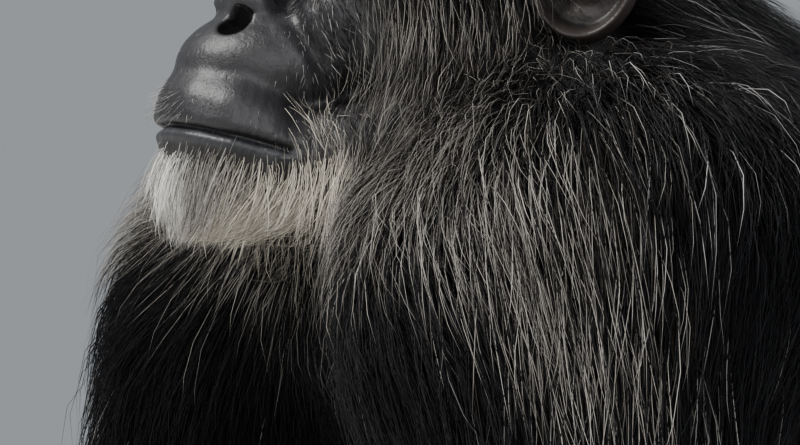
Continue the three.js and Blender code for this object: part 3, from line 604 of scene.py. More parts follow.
def skin_tint(p, lips):
    f, u = from_ear(p)
    bare = (1 - hairiness(p)) * smooth(f, 20, 50)
    c = mix(DARK, GREY_SKIN, bare[:, None])
    c = mix(c, LIP_SKIN, np.clip(lips, 0, 1)[:, None])
    # Painted shade fills the inside of each nostril
    for s in (1, -1):
        inside = distance(nostril_rod(s), p)
        c = mix(c, NOSTRIL_PAINTED_SHADE, smooth(inside, 1.6, 0.4)[:, None])
    limbs = smooth(blend(extremities, p, 5), 9, 4) * (u < -200)
    c = mix(c, SOLE_SKIN, limbs[:, None])
    for s in (1, -1):
        pad = distance(ball(at(s * SEAT_PAD[0], SEAT_PAD[1], 11), [34, 40, 14]), p)
        c = mix(c, PAD_SKIN, smooth(pad, 3, 0)[:, None])
    return np.column_stack([c, np.ones(len(p))])


def build_skin():
    mesh = rough_body(head_masses + brow_masses + body_masses + extremities)
    draw_on(mesh, 3)
    refine(mesh, lambda p: on_face(p) | on_hands_and_feet(p))
    draw_on(mesh, 2)
    refine(mesh, on_muzzle)
    draw_on(mesh, 2)
    line = mouth_line()
    refine(mesh, lambda p: (near_line(p, line) < 5.5) | near_eyes_or_nostrils(p))
    draw_on(mesh, 2)
    mesh.name = "skin"
    painted_fold_shade = fold_face(mesh)
    lips, wrinkle, along = carve_mouth(mesh, line)
    p = points_of(mesh)
    tint = skin_tint(p, lips)
    # Painted shade in the face's folds, and painted light on the ridges beside them
    tint[:, :3] *= np.clip(1 + 0.4 * painted_fold_shade, 0.3, 1.25)[:, None]
    set_values(mesh, "tint", tint, "FLOAT_COLOR")
    gloss = np.full(len(p), SKIN_GLOSS)
    for s in (1, -1):
        gloss *= smooth(distance(nostril_rod(s), p), 0.3, 1.8)
    set_values(mesh, "gloss", gloss)
    set_values(mesh, "lip_wrinkle", wrinkle)
    set_values(mesh, "lip_along", along)
    return mesh


# Ears: a ball flattened to a dish, then pressed into folds
EAR = {"half_height": 36, "half_width": 26, "thick": 5, "flare": 0.62, "lean": 0.12, "root": (81, 14, 10)}


def ear_folds(p):
    y, z = p[:, 1] / EAR["half_width"], p[:, 2] / EAR["half_height"]
    r = np.hypot(y, z)
    a = np.arctan2(z, -y)
    outer = p[:, 0] > 0
    rim = bell(r - 0.9, 0.09) * smooth(np.abs(a + 0.1), 0.2, 0.8)
    groove = bell(r - 0.76, 0.07) * smooth(np.abs(a), 0.5, 1.1)
    bowl = smooth(r, 0.86, 0.5)
    ridge_at = 0.5 + 0.09 * np.sin(1.5 * a + 0.6)
    ridge = bell(r - ridge_at, 0.09) * smooth(y, -0.35, 0.05)
    fork = bell(z - 0.42 + 0.5 * (y - 0.1), 0.08) * smooth(r, 0.8, 0.6) * smooth(y, -0.5, -0.2)
    hollow = bell(np.hypot(y + 0.2, z + 0.14), 0.3)
    flap = bell(np.hypot((y + 0.72) / 0.2, (z + 0.2) / 0.24), 1)
    lower_flap = bell(np.hypot((y - 0.05) / 0.22, (z + 0.55) / 0.13), 1)
    lobe = bell(np.hypot(y + 0.2, z + 0.84), 0.3)
    rough = 0.5 * np.sin(9 * y + 5 * z) * np.sin(7 * z - 4 * y) * bowl
    front = 5.2 * rim - 2.2 * groove - 6.2 * bowl + 5.4 * ridge + 3.2 * fork - 8 * hollow
    front += 7 * flap + 3.4 * lower_flap + 2.8 * lobe + rough
    back = -2.5 * bowl + 2.5 * rim - 8 * hollow
    x = p[:, 0] + np.where(outer, front, back) + 4 * r**2
    # Painted shade: darkest in the hollow, the groove and the bowl, less on the ridge and the lower flap
    painted_ear_shade = np.clip(0.9 * hollow + 0.8 * groove + 0.35 * bowl - 0.5 * ridge - 0.5 * lower_flap, 0, 1)
    return np.column_stack([x, p[:, 1], p[:, 2]]), painted_ear_shade * outer


# Two coordinates turned by an angle into each other
def turned(x, y, angle):
    c, s = math.cos(angle), math.sin(angle)
    return c * x - s * y, s * x + c * y


def build_ear(side, s):
    bm = bmesh.new()
    bmesh.ops.create_uvsphere(bm, u_segments=96, v_segments=64, radius=1)
    bmesh.ops.scale(bm, vec=Vector((EAR["thick"], EAR["half_width"], EAR["half_height"])), verts=bm.verts)
    mesh = mesh_of(bm, "ear_skin_" + side)
    p, painted_ear_shade = ear_folds(points_of(mesh) * MM)
    y, z = turned(p[:, 1], p[:, 2], -EAR["lean"])
    x, y = turned(p[:, 0], y, -EAR["flare"])
    p = (np.column_stack([x, y, z]) + EAR["root"]) * [s, 1, 1] + ear
    set_points(mesh, p)
    if s < 0:
        mesh.flip_normals()
    # The ear's skin, with painted shade in its hollows
    tint = mix(EAR_SKIN, EAR_PAINTED_SHADE, painted_ear_shade[:, None])
    set_values(mesh, "tint", np.column_stack([tint, np.ones(len(p))]), "FLOAT_COLOR")
    for name in ("lip_wrinkle", "lip_along"):
        set_values(mesh, name, np.zeros(len(p)))
    set_values(mesh, "gloss", np.full(len(p), EAR_GLOSS))
    return mesh


# Materials
def new_material(name, roughness, specular=0.5):
    material = bpy.data.materials.new(name)
    material.use_nodes = True
    shader = material.node_tree.nodes["Principled BSDF"]
    shader.inputs["Roughness"].default_value = roughness
    shader.inputs["Specular IOR Level"].default_value = specular
    return material, material.node_tree, shader


def node(tree, kind, **inputs):
    made = tree.nodes.new(kind)
    for name, value in inputs.items():
        made.inputs[name.replace("_", " ")].default_value = value
    return made


def attribute(tree, name, output="Fac"):
    made = tree.nodes.new("ShaderNodeAttribute")
    made.attribute_name = name
    return made.outputs[output]


def scaled(tree, colour, share):
    made = tree.nodes.new("ShaderNodeVectorMath")
    made.operation = "SCALE"
    tree.links.new(colour, made.inputs[0])
    tree.links.new(share, made.inputs["Scale"])
    return made.outputs["Vector"]


def bump(tree, height, strength, distance, under=None):
    made = node(tree, "ShaderNodeBump", Strength=strength, Distance=distance)
    tree.links.new(height, made.inputs["Height"])
    if under is not None:
        tree.links.new(under, made.inputs["Normal"])
    return made.outputs["Normal"]


# One effect for skin and coat: a colour made darker and lighter by noise
def mottle_group():
    group = bpy.data.node_groups.new("mottle", "ShaderNodeTree")
    sockets = {"Tint": "Color", "Place": "Vector", "Scale": "Float", "Detail": "Float", "Darkest": "Float",
               "Lightest": "Float"}
    for name, kind in sockets.items():
        group.interface.new_socket(name, in_out="INPUT", socket_type="NodeSocket" + kind)
    group.interface.new_socket("Colour", in_out="OUTPUT", socket_type="NodeSocketColor")
    given = group.nodes.new("NodeGroupInput").outputs
    noise = node(group, "ShaderNodeTexNoise", Roughness=0.6)
    spread = node(group, "ShaderNodeMapRange", From_Min=0.3, From_Max=0.7)
    for name, socket in (("Place", noise.inputs["Vector"]), ("Scale", noise.inputs["Scale"]),
                         ("Detail", noise.inputs["Detail"]), ("Darkest", spread.inputs["To Min"]),
                         ("Lightest", spread.inputs["To Max"])):
        group.links.new(given[name], socket)
    group.links.new(noise.outputs["Fac"], spread.inputs["Value"])
    colour = scaled(group, given["Tint"], spread.outputs["Result"])
    group.links.new(colour, group.nodes.new("NodeGroupOutput").inputs["Colour"])
    return group


def mottled(tree, place, **values):
    made = tree.nodes.new("ShaderNodeGroup")
    made.node_tree = mottle
    for name, value in values.items():
        made.inputs[name].default_value = value
    tree.links.new(attribute(tree, "tint", "Color"), made.inputs["Tint"])
    tree.links.new(place, made.inputs["Place"])
    return made.outputs["Colour"]


def skin_material():
    material, tree, shader = new_material("bare_skin", 0.44)
    link = tree.links.new
    place = tree.nodes.new("ShaderNodeTexCoord").outputs["Object"]
    tone = mottled(tree, place, Scale=55, Detail=6, Darkest=0.72, Lightest=1.3)
    link(attribute(tree, "gloss"), shader.inputs["Specular IOR Level"])
    pores = node(tree, "ShaderNodeTexVoronoi", Scale=620)
    pores.feature = "DISTANCE_TO_EDGE"
    link(place, pores.inputs["Vector"])
    creases = node(tree, "ShaderNodeTexNoise", Scale=160, Detail=8, Roughness=0.65)
    link(place, creases.inputs["Vector"])
    # Fine upright wrinkles run across both lips, counted along the line of the mouth
    line = tree.nodes.new("ShaderNodeCombineXYZ")
    link(attribute(tree, "lip_along"), line.inputs["X"])
    ribs = node(tree, "ShaderNodeTexNoise", Scale=34, Detail=2, Roughness=0.5)
    link(line.outputs["Vector"], ribs.inputs["Vector"])
    rib_depth = tree.nodes.new("ShaderNodeMath")
    rib_depth.operation = "MULTIPLY"
    link(ribs.outputs["Fac"], rib_depth.inputs[0])
    link(attribute(tree, "lip_wrinkle"), rib_depth.inputs[1])
    # Painted highlight and shade: the lips' colour lightens on the wrinkles' ridges and darkens in their
    # grooves
    painted_wrinkle_light = node(tree, "ShaderNodeMapRange", From_Min=0.2, From_Max=0.8, To_Min=0.6, To_Max=1.5)
    link(ribs.outputs["Fac"], painted_wrinkle_light.inputs["Value"])
    both = tree.nodes.new("ShaderNodeMix")
    both.data_type = "RGBA"
    link(attribute(tree, "lip_wrinkle"), both.inputs["Factor"])
    link(tone, both.inputs["A"])
    link(scaled(tree, tone, painted_wrinkle_light.outputs["Result"]), both.inputs["B"])
    link(both.outputs["Result"], shader.inputs["Base Color"])
    normal = bump(tree, creases.outputs["Fac"], 0.7, 0.0008)
    normal = bump(tree, pores.outputs["Distance"], 0.3, 0.0003, normal)
    link(bump(tree, rib_depth.outputs["Value"], 0.6, 0.0011, normal), shader.inputs["Normal"])
    return material


def coat_material():
    material, tree, shader = new_material("coat", 0.55, 0.16)
    strand = tree.nodes.new("ShaderNodeUVMap")
    strand.uv_map = "Strand"
    stretch = tree.nodes.new("ShaderNodeVectorMath")
    stretch.operation = "MULTIPLY"
    stretch.inputs[1].default_value = (1.6, 0.5, 1)
    tree.links.new(strand.outputs["UV"], stretch.inputs[0])
    hairs = mottled(tree, stretch.outputs["Vector"], Scale=1, Detail=2, Darkest=0.45, Lightest=1.5)
    tree.links.new(hairs, shader.inputs["Base Color"])
    return material


# Rings of the eyeball by their angle from the middle of the pupil: pupil, iris, its dark edge and the white
EYE_RINGS = ((0.2, (0.002, 0.001, 0.001, 1)), (0.24, (0.03, 0.011, 0.004, 1)),
             (0.44, (0.055, 0.022, 0.008, 1)), (0.52, (0.006, 0.003, 0.002, 1)),
             (0.6, (0.02, 0.011, 0.008, 1)))


def eye_material():
    material, tree, shader = new_material("eye_wet", 0.08, 0.25)
    ramp = tree.nodes.new("ShaderNodeValToRGB")
    stops = ramp.color_ramp.elements
    for stop, (angle, colour) in zip(stops, EYE_RINGS):
        stop.position, stop.color = angle, colour
    for angle, colour in EYE_RINGS[len(stops):]:
        stops.new(angle).color = colour
    tree.links.new(attribute(tree, "from_pupil"), ramp.inputs["Fac"])
    tree.links.new(ramp.outputs["Color"], shader.inputs["Base Color"])
    shader.inputs["Coat Weight"].default_value = 0.3
    shader.inputs["Coat Roughness"].default_value = 0.02
    return material


def nail_material():
    material, _, shader = new_material("nail", 0.35)
    shader.inputs["Base Color"].default_value = (0.035, 0.027, 0.022, 1)
    return material


def build_eye(side, s):
    bm = bmesh.new()
    bmesh.ops.create_uvsphere(bm, u_segments=64, v_segments=48, radius=EYE["radius"] * MM)
    gaze = Vector((s * 0.12, -1, -0.03)).normalized()
    values = [math.acos(max(-1, min(1, v.co.normalized() @ gaze))) for v in bm.verts]
    bmesh.ops.translate(bm, vec=Vector(eyes[side] * MM), verts=bm.verts)
    mesh = mesh_of(bm, "eyeball_" + side)
    set_values(mesh, "from_pupil", values)
    return mesh


def build_nails():
    bm = bmesh.new()
    for points, radii, kind in digits:
        way = points[-1] - points[-2]
        way /= np.linalg.norm(way)
        up = np.array([0, 0, -1.0 if kind == "finger" else 1.0])
        up -= way * (up @ way)
        up /= np.linalg.norm(up)
        across = np.cross(way, up)
        made = bmesh.ops.create_uvsphere(bm, u_segments=20, v_segments=12, radius=1)["verts"]
        for v in made:
            x, y, z = v.co
            r = radii[-1]
            spot = points[-1] + way * (r * 0.5 + x * r * 0.62) + across * (y * r * 0.66)
            v.co = Vector((spot + up * (r * (0.72 - 0.2 * y * y - 0.16 * x) + z * 1.6)) * MM)
    return mesh_of(bm, "nails")


# The lie of the coat. Each flow is its masses, the way of the hair, its length and how far it rises
def trunk_flows(p, f, u, side):
    one = np.ones(len(p))
    x = off_middle(p)
    forward = smooth(f, -8, 34) * mix(0.04, 1.0, smooth(u, -34, -96))
    back = smooth(f, -4, -42)
    outward = mix(0.25, 0.8, smooth(x, 60, 100) * smooth(u, -20, -40)) * side
    neck_way = np.column_stack([outward, 0.55 * back * smooth(x, 100, 60) - 0.6 * forward, -one])
    on_slope = smooth(x, 50, 100) * smooth(u, -170, -110)
    chest_way = np.column_stack([mix(0.3, 0.9, on_slope) * side, mix(-0.05, 0.2, back), -one])
    belly_way = np.column_stack([0.1 * side, 0.05 * one, -one])
    chest_flow = (chest_masses, chest_way, 74, 16)
    return [(neck_masses, neck_way, 68, 15), chest_flow, (belly_masses, belly_way, 64, 14)]


def limb_flows(p):
    flows = []
    for side, s in (("left", 1), ("right", -1)):
        shoulder, elbow, wrist, hip, knee, ankle = joints[side].values()
        # The far shoulder's hair stands out a little more in front, as its outline shows
        ahead = smooth(shoulder[1] - p[:, 1], 0, 50) * (s < 0)
        low = smooth(p[:, 2], shoulder[2] + 10, shoulder[2] - 110)[:, None]
        over_shoulder = mix(np.array([s * 0.9, -0.2, -1]), (elbow - shoulder) / UPPER_ARM, low)
        upper_arm = [rod(shoulder, elbow, 52, 40), ball(shoulder + [s * 6, 4, -14], [60, 64, 72])]
        flows += [
            (upper_arm, over_shoulder, 84, 15 + 9 * ahead),
            ([rod(elbow, wrist, 41, 25)], elbow - wrist + [s * 20, 0, -60], 66, 12),
            ([rod(hip, knee, 70, 48)], knee - hip + [0, 0, -110], 66, 12),
            ([rod(knee, ankle, 45, 27)], ankle - knee, 52, 9),
        ]
    return flows


def head_flow(p, f, u, side):
    one = np.ones(len(p))
    forward = smooth(f, -8, 34) * mix(0.04, 1.0, smooth(u, -34, -96))
    back = smooth(f, -4, -42)
    crown = smooth(u, 4, 22)
    beard = smooth(f, 44, 76) * smooth(u, -46, -62)
    over = np.column_stack([0.15 * side, one, mix(-0.15, -0.9, smooth(f, -5, -45))])
    cheek = np.column_stack([0.1 * side, 0.8 * back - forward, -one])
    sweep = mix(mix(0.5, -0.55, smooth(u, -62, -84)), -0.5, smooth(f, 100, 136))
    chin = np.column_stack([0.25 * side, sweep, -one])
    way = mix(mix(cheek, chin, beard[:, None]), over, crown[:, None])
    # The lower the beard's roots, the shorter its hair, so that it ends on one edge
    length = mix(mix(50, np.clip(u + 128, 14, 44), beard), 40, crown)
    rise = mix(mix(13, 16, beard), 9, crown)
    return (SKULL, way, length, rise)


# The nearest part pulls the hair most
def lie_of(p):
    f, u = from_ear(p)
    side = np.clip((p[:, 0] - ear[0]) / 40, -1, 1)
    flows = [*trunk_flows(p, f, u, side), *limb_flows(p), head_flow(p, f, u, side)]
    far = np.array([np.min([distance(m, p) for m in masses], axis=0) for masses, _, _, _ in flows])
    share = np.exp(-np.clip(far - far.min(0), 0, 80) / 9)
    share /= share.sum(0)
    ways = sum(w[:, None] * unit(way) for w, (_, way, _, _) in zip(share, flows))
    length = sum(w * flow[2] for w, flow in zip(share, flows))
    rise = sum(w * flow[3] for w, flow in zip(share, flows))
    full = hairiness(p)
    return ways, length * mix(0.35, 1, full), rise * mix(0.25, 1, full)


# Layers of the coat: meshes, tufts in each, width in mm, tufts led by each leader and how far, and rings of
# points along a tuft. The finest hair bends most, and covers what the photograph shows.
FINE = {"meshes": 4, "tufts": 9050, "width": 0.66, "led": 22, "pull": 0.7, "rings": 5}
LONG = {"meshes": 3, "tufts": 10600, "width": 4.2, "led": 9, "pull": 0.5, "rings": 4}
SHORT = {"tufts": 11000, "rings": 4}
SHARE = 1
# How wide a tuft is at each of its rings
SHAPES = {5: [0.7, 1.0, 0.85, 0.5, 0.0], 4: [0.8, 1.0, 0.7, 0.0]}
ROOT_DEPTH = 3


def walk(grid, roots, ways, astray, length, rise, rings):
    _, g = grid.read(roots)
    p = roots - g * ROOT_DEPTH
    path = [p]
    # Hair low on the head hangs free where the form turns away under it
    loose = 0.9 * on_head(roots) * smooth(roots[:, 2], ear[2] - 12, ear[2] - 30)
    for k in range(1, rings):
        t = k / (rings - 1)
        # The finest hair follows the lie of the coat as it goes, and so curves with it
        if rings == FINE["rings"] and k > 1:
            ways = mix(ways, unit(lie_of(p)[0]), 0.7)
        flat = ways - g * np.einsum("ij,ij->i", ways, g)[:, None]
        along = mix(unit(flat), ways, (0.3 + 0.6 * loose)[:, None]) + astray
        lift = np.einsum("ij,ij->i", along, g)
        along = along - g * np.where(lift > 0, lift * (1 - loose), lift)[:, None]
        p = p + unit(along) * (length / (rings - 1))[:, None]
        want = mix(-ROOT_DEPTH, rise, 1 - (1 - t) ** 2)
        for _ in range(2):
            d, g = grid.read(p)
            move = np.clip(want - d, -14, 14)
            p = p + g * np.where(move < 0, move * (1 - loose), move)[:, None]
        path.append(p)
    path = np.stack(path, 1)
    for _ in range(2):
        path[:, 1:-1] = 0.5 * path[:, 1:-1] + 0.25 * (path[:, :-2] + path[:, 2:])
    return path


# The photograph's picture plane: across it to the right, and towards the camera
VIEW_RIGHT = np.array([0.375, 0.927, 0])
VIEW_FROM = np.array([0.927, -0.375, 0])


def in_view(p, normal):
    a = (p - ear) @ VIEW_RIGHT
    _, u = from_ear(p)
    return (a > -218) & (a < 150) & (u > -212) & (u < 22) & (normal @ VIEW_FROM > -0.25)


# The corners of every triangle, three points to a row
def triangle_corners(mesh):
    mesh.calc_loop_triangles()
    n = len(mesh.loop_triangles)
    index = np.empty(n * 3, int)
    mesh.loop_triangles.foreach_get("vertices", index)
    return points_of(mesh)[index.reshape(-1, 3)]


def facing(corners):
    return unit(np.cross(corners[:, 1] - corners[:, 0], corners[:, 2] - corners[:, 0]))


def scatter(corners, weight, count):
    area = np.linalg.norm(np.cross(corners[:, 1] - corners[:, 0], corners[:, 2] - corners[:, 0]), axis=1) / 2
    ends = np.cumsum(area * weight)
    # Even steps through the summed area keep the roots evenly spread
    which = np.searchsorted(ends, (np.arange(count) + rng.random(count)) / count * ends[-1])
    which = np.minimum(which, len(corners) - 1)
    a, b = np.sqrt(rng.random(count)), rng.random(count)
    c = corners[which]
    spots = c[:, 0] * (1 - a)[:, None] + c[:, 1] * (a * (1 - b))[:, None] + c[:, 2] * (a * b)[:, None]
    return spots, facing(c)


def tuft_template(rings):
    bm = bmesh.new()
    bmesh.ops.create_circle(bm, cap_ends=True, segments=3, radius=1)
    for _ in range(rings - 1):
        top = max(bm.faces, key=lambda f: f.calc_center_median().z)
        made = bmesh.ops.extrude_face_region(bm, geom=[top])["geom"]
        if top.calc_center_median().z > 0.5:
            bmesh.ops.delete(bm, geom=[top], context="FACES_ONLY")
        raised = [v for v in made if isinstance(v, bmesh.types.BMVert)]
        bmesh.ops.translate(bm, vec=Vector((0, 0, 1)), verts=raised)
    tip = [v for v in bm.verts if v.co.z > rings - 1.5]
    bmesh.ops.pointmerge(bm, verts=tip, merge_co=Vector((0, 0, rings - 1)))
    bmesh.ops.recalc_face_normals(bm, faces=bm.faces)
    bmesh.ops.triangulate(bm, faces=bm.faces)
    return bm


def many_tufts(name, count, rings):
    bm = tuft_template(rings)
    shape = np.array([v.co for v in bm.verts])
    obj = stand(name, mesh_of(bm, name))
    array = obj.modifiers.new("repeat", "ARRAY")
    array.use_relative_offset = False
    array.use_constant_offset = True
    array.constant_offset_displace = (0, 0, 0)
    array.count = count
    return settle(obj), shape


# One chart to a part of the body, a cylinder opened flat: its corner, width, height, both ends and points
def unwrap(p):
    out = np.zeros((len(p), 2))
    _, u = from_ear(p)
    charts = [
        (0.02, 0.52, 0.46, 0.46, face(0, 0, -120), face(0, 0, 90), u > -110),
        (0.02, 0.02, 0.46, 0.46, at(0, 40, 0), at(0, 40, 560), u <= -110),
    ]
    done = np.zeros(len(p), bool)
    for side, u0 in (("left", 0.52), ("right", 0.76)):
        shoulder, elbow, wrist, hip, knee, ankle = joints[side].values()
        limbs = ((shoulder, elbow, 66), (elbow, wrist, 60), (hip, knee, 72), (knee, ankle, 60))
        for k, (a, b, r) in enumerate(limbs):
            near = (distance(rod(a, b, r * 0.75, r * 0.6), p) < 12) & ~done
            near &= off_middle(p) > (110 if k < 2 else 60)
            done |= near
            charts.append((u0, 0.02 + 0.245 * k, 0.2, 0.2, a - (b - a) * 0.2, b + (b - a) * 0.2, near))
    for u0, v0, wide, tall, a, b, mine in charts:
        axis = unit(b - a)
        across = unit(np.cross(axis, [0, 1, 0.01]))
        q = p - a
        turn = np.arctan2(q @ np.cross(axis, across), q @ across) / (2 * math.pi) + 0.5
        high = np.clip(q @ axis / np.linalg.norm(b - a), 0, 1)
        out[mine] = np.column_stack([u0 + turn * wide, v0 + high * tall])[mine]
    return out


BLACK = shade(0.0042, 0.0043, 0.0056)
BROWN = shade(0.024, 0.0195, 0.016)
CREAM = shade(0.88, 0.82, 0.7)
SNOW_AND_HIGHLIGHT = shade(0.95, 0.93, 0.89)
ASH = shade(0.091, 0.0805, 0.07)
TAUPE = shade(0.31, 0.29, 0.262)
WHITE = shade(0.4, 0.395, 0.39)


# Where pale hair grows: round the cheeks, thicker in the ruff, on the upper arm and a few on the shoulder
def pale_zones(across, f, u):
    grey = smooth(across, -80, -56) * smooth(across, 100, 58) * smooth(u, 50, 20)
    behind = smooth(across, -10, 30)
    grey *= smooth(u, mix(-122, -146, behind), mix(-106, -118, behind))
    grey *= 1 - smooth(f, 68, 88) * smooth(u, -84, -94)
    arm = smooth(np.abs(across - 44), 52, 14) * smooth(u, -182, -140) * smooth(u, -90, -120)
    few = smooth(across, 112, 84) * smooth(across, -60, 0) * smooth(u, -230, -110)
    return grey, grey * smooth(across, 60, 10), arm, few


# The beard is whitest in front, its own white with a painted highlight where the light falls, cream at its
# sides, and greyer under the lip and towards the cheeks
def beard_colour(x, f, u):
    n = len(x)
    patch = smooth(u, -94, -84) * smooth(f, 114, 124) * smooth(x, 8, 18)
    greyer = smooth(f, 100, 60) * 0.6 + 0.2 * smooth(f, 126, 112) * smooth(u, -96, -84)
    greyer = np.clip(np.maximum(greyer, 0.75 * patch) + 0.2 * rng.normal(0, 1, n), 0, 0.92)
    # Whiter towards the front: real white hair and a painted highlight
    fur = mix(CREAM, SNOW_AND_HIGHLIGHT, smooth(f, 120, 138)[:, None])
    return mix(fur, ASH, greyer[:, None]) * rng.uniform(0.7, 1.15, n)[:, None]


# Colour of each hair from its root's place, whether it is pale and lies on top, and whether it is white
def coat_tint(p):
    n = len(p)
    f, u = from_ear(p)
    x = off_middle(p)
    chance = rng.random(n)
    by_head = smooth(head_field(p), 9, 3)
    whisker = smooth(f, 78, 86) * smooth(f, 116, 106) * smooth(u, -28, -44) * by_head
    low = smooth(u, -52, -66) * smooth(f, 62, 96) * smooth(u, -112, -102) * by_head
    f = f + rng.normal(0, 7, n)
    u = u + rng.normal(0, 9, n)
    c = np.tile(BLACK, (n, 1)) * rng.uniform(0.6, 1.6, n)[:, None]
    # How far back in the photograph's picture plane, alike on both sides
    across = VIEW_RIGHT[0] * x - VIEW_RIGHT[1] * f
    grey, ruff, arm, few = pale_zones(across, f, u)
    brown = chance < 0.02 + 0.25 * grey + 0.35 * ruff
    c[brown] = mix(c[brown], BROWN, rng.uniform(0.3, 1.0, brown.sum())[:, None])
    pale = rng.random(n) < 0.08 * grey + 0.36 * ruff + 0.09 * arm + 0.025 * few + 0.001
    under_ear = smooth(np.abs(across - 34), 76, 46) * smooth(u, -66, -44)
    pale &= rng.random(n) > 0.7 * under_ear
    bright = mix(TAUPE, WHITE, np.clip(smooth(f, 20, -40) + 0.2 * rng.normal(0, 1, n), 0, 1)[:, None])
    c[pale] = (bright * rng.uniform(0.35, 1.25, n)[:, None])[pale]
    beard = beard_colour(x, f, u)
    white = rng.random(n) < np.maximum(low * 1.3, 0.7 * whisker)
    c = np.where(white[:, None], beard, c)
    return c, pale & ~white, white


def on_head(p):
    return smooth(p[:, 2], ear[2] - 150, ear[2] - 60) * smooth(np.abs(p[:, 0] - ear[0]), 130, 90)


# Each hair is pulled towards its clump's leader, the more the nearer its tip
def clumped(path, roots, pull, led):
    n, rings = path.shape[:2]
    leaders = np.arange(0, n, led)
    rng.shuffle(leaders)
    tree = KDTree(len(leaders))
    for i in leaders:
        tree.insert(roots[i], int(i))
    tree.balance()
    leader = np.array([tree.find(r)[1] for r in roots])
    t = np.linspace(0, 1, rings)[None, :, None]
    pull = (rng.uniform(0.3, 1, n) * pull)[:, None, None] * t**1.6
    offset = (roots - roots[leader])[:, None, :] * 0.25
    return mix(path, path[leader] + offset, pull)


def lay_tufts(name, grid, roots, layer, material):
    n, rings = len(roots), layer["rings"]
    colour, pale, white = coat_tint(roots)
    ways, length, rise = lie_of(roots)
    astray = rng.normal(0, 0.12, (n, 3))
    length = length * rng.uniform(0.55, 1.15, n)
    height = np.where(pale, rng.uniform(0.8, 1.15, n), rng.uniform(0.2, 1.0, n))
    # Hair that lies deep in the coat sees less light
    colour = colour * mix(np.where(white, 0.8, 0.3), 1.15, np.clip(height, 0, 1))[:, None]
    path = walk(grid, roots, unit(ways), astray, length, rise * height, rings)
    # Each hair bows a little to one side
    t = np.linspace(0, 1, rings)[None, :, None]
    bow = rng.normal(0, 0.1, (n, 3)) * length[:, None]
    path = path + bow[:, None, :] * (t * (1 - t) * 2)
    path = clumped(path, roots, layer["pull"] * np.where(pale, 0.35, 1), layer["led"])
    _, g = grid.read(path.reshape(-1, 3))
    size = layer["width"] * np.where(pale, 0.7, 1.0) * rng.uniform(0.6, 1.3, n) * mix(1, 0.5, on_head(roots))
    size *= mix(0.4, 1, hairiness(roots)) * np.where(pale & (size > 1.2), 0.35, 1)
    t = t[:, :, 0]
    # Painted shade: each tuft darkens towards its root, less so on white hair
    light = mix(0.5 + 0.75 * t**0.7, 0.85 + 0.25 * t, white[:, None])
    tint = colour[:, None, :] * light[:, :, None]
    weave(name, roots, path, g.reshape(path.shape), size, tint, material)


# Tufts of three sides along given paths, with the colour of each ring of points
def weave(name, roots, path, normals, size, tint, material):
    n = len(roots)
    along = unit(np.gradient(path, axis=1))
    across = unit(np.cross(normals, along))
    up = np.cross(along, across)
    roll = rng.normal(0, 0.5, n)[:, None, None]
    across, up = across * np.cos(roll) + up * np.sin(roll), up * np.cos(roll) - across * np.sin(roll)
    rings = path.shape[1]
    mesh, shape = many_tufts(name, n, rings)
    ring = np.round(shape[:, 2]).astype(int)
    full = np.array(SHAPES[rings])[ring] / 2
    spots = path[:, ring] + across[:, ring] * (shape[:, 0] * full)[None, :, None] * size[:, None, None]
    spots += up[:, ring] * (shape[:, 1] * full * 0.5)[None, :, None] * size[:, None, None]
    spots[:, :, 2] = np.maximum(spots[:, :, 2], ground[2] + 0.5)
    set_points(mesh, spots.reshape(-1, 3))
    set_values(mesh, "tint", np.concatenate([tint[:, ring], np.ones((n, len(ring), 1))], 2), "FLOAT_COLOR")
    corner = np.empty(len(mesh.loops), int)
    mesh.loops.foreach_get("vertex_index", corner)
    v, tuft = corner % len(ring), corner // len(ring)
    patch = np.column_stack([shape[v, 0] * 0.5, ring[v] / (rings - 1) - 0.5]) * 0.003
    baked = mesh.uv_layers.new(name="OFBake")
    baked.data.foreach_set("uv", (unwrap(roots)[tuft] + patch).ravel())
    # A second map runs across and along each tuft, for its fine single hairs
    strand = mesh.uv_layers.new(name="Strand")
    width = (shape[v, 0] * 0.55 + 0.5) * np.minimum(1, size[tuft] / 3) * 5
    turn = np.column_stack([width, ring[v] / (rings - 1)])
    strand.data.foreach_set("uv", (turn + rng.uniform(0, 90, (n, 2))[tuft]).ravel())
    show(name, mesh, material, ())


def build_coat(grid, material):
    # Roots stand on the level of the coat, which the finished scene doesn't show
    level_mesh = rough_body(head_masses + brow_masses + body_masses + extremities + mane_masses)
    draw_on(level_mesh, 4, coat_surface, 12)
    corners = triangle_corners(level_mesh)
    middles = corners.mean(1)
    _, u = from_ear(middles)
    hairy = hairiness(middles) * (np.abs(coat_surface(middles)) < 5)
    limbs = smooth(blend(extremities, middles, 5), 2, 9)
    hairy *= np.where(u < -250, limbs, 1)
    hairy *= smooth(middles[:, 2], ground[2] + 8, ground[2] + 26)
    for s in (1, -1):
        hairy *= smooth(distance(ball(face(s * 96, -12, 12), [30, 30, 34]), middles), 0, 7)
    seen = in_view(middles, facing(corners))
    dense = hairy * mix(1, 2.2, on_head(middles))
    for name, layer, where in (("fine", FINE, seen), ("long", LONG, ~seen)):
        for k in range(layer["meshes"]):
            roots, _ = scatter(corners, dense * where, int(layer["tufts"] * SHARE))
            lay_tufts(f"coat_{name}_{k}", grid, roots, layer, material)


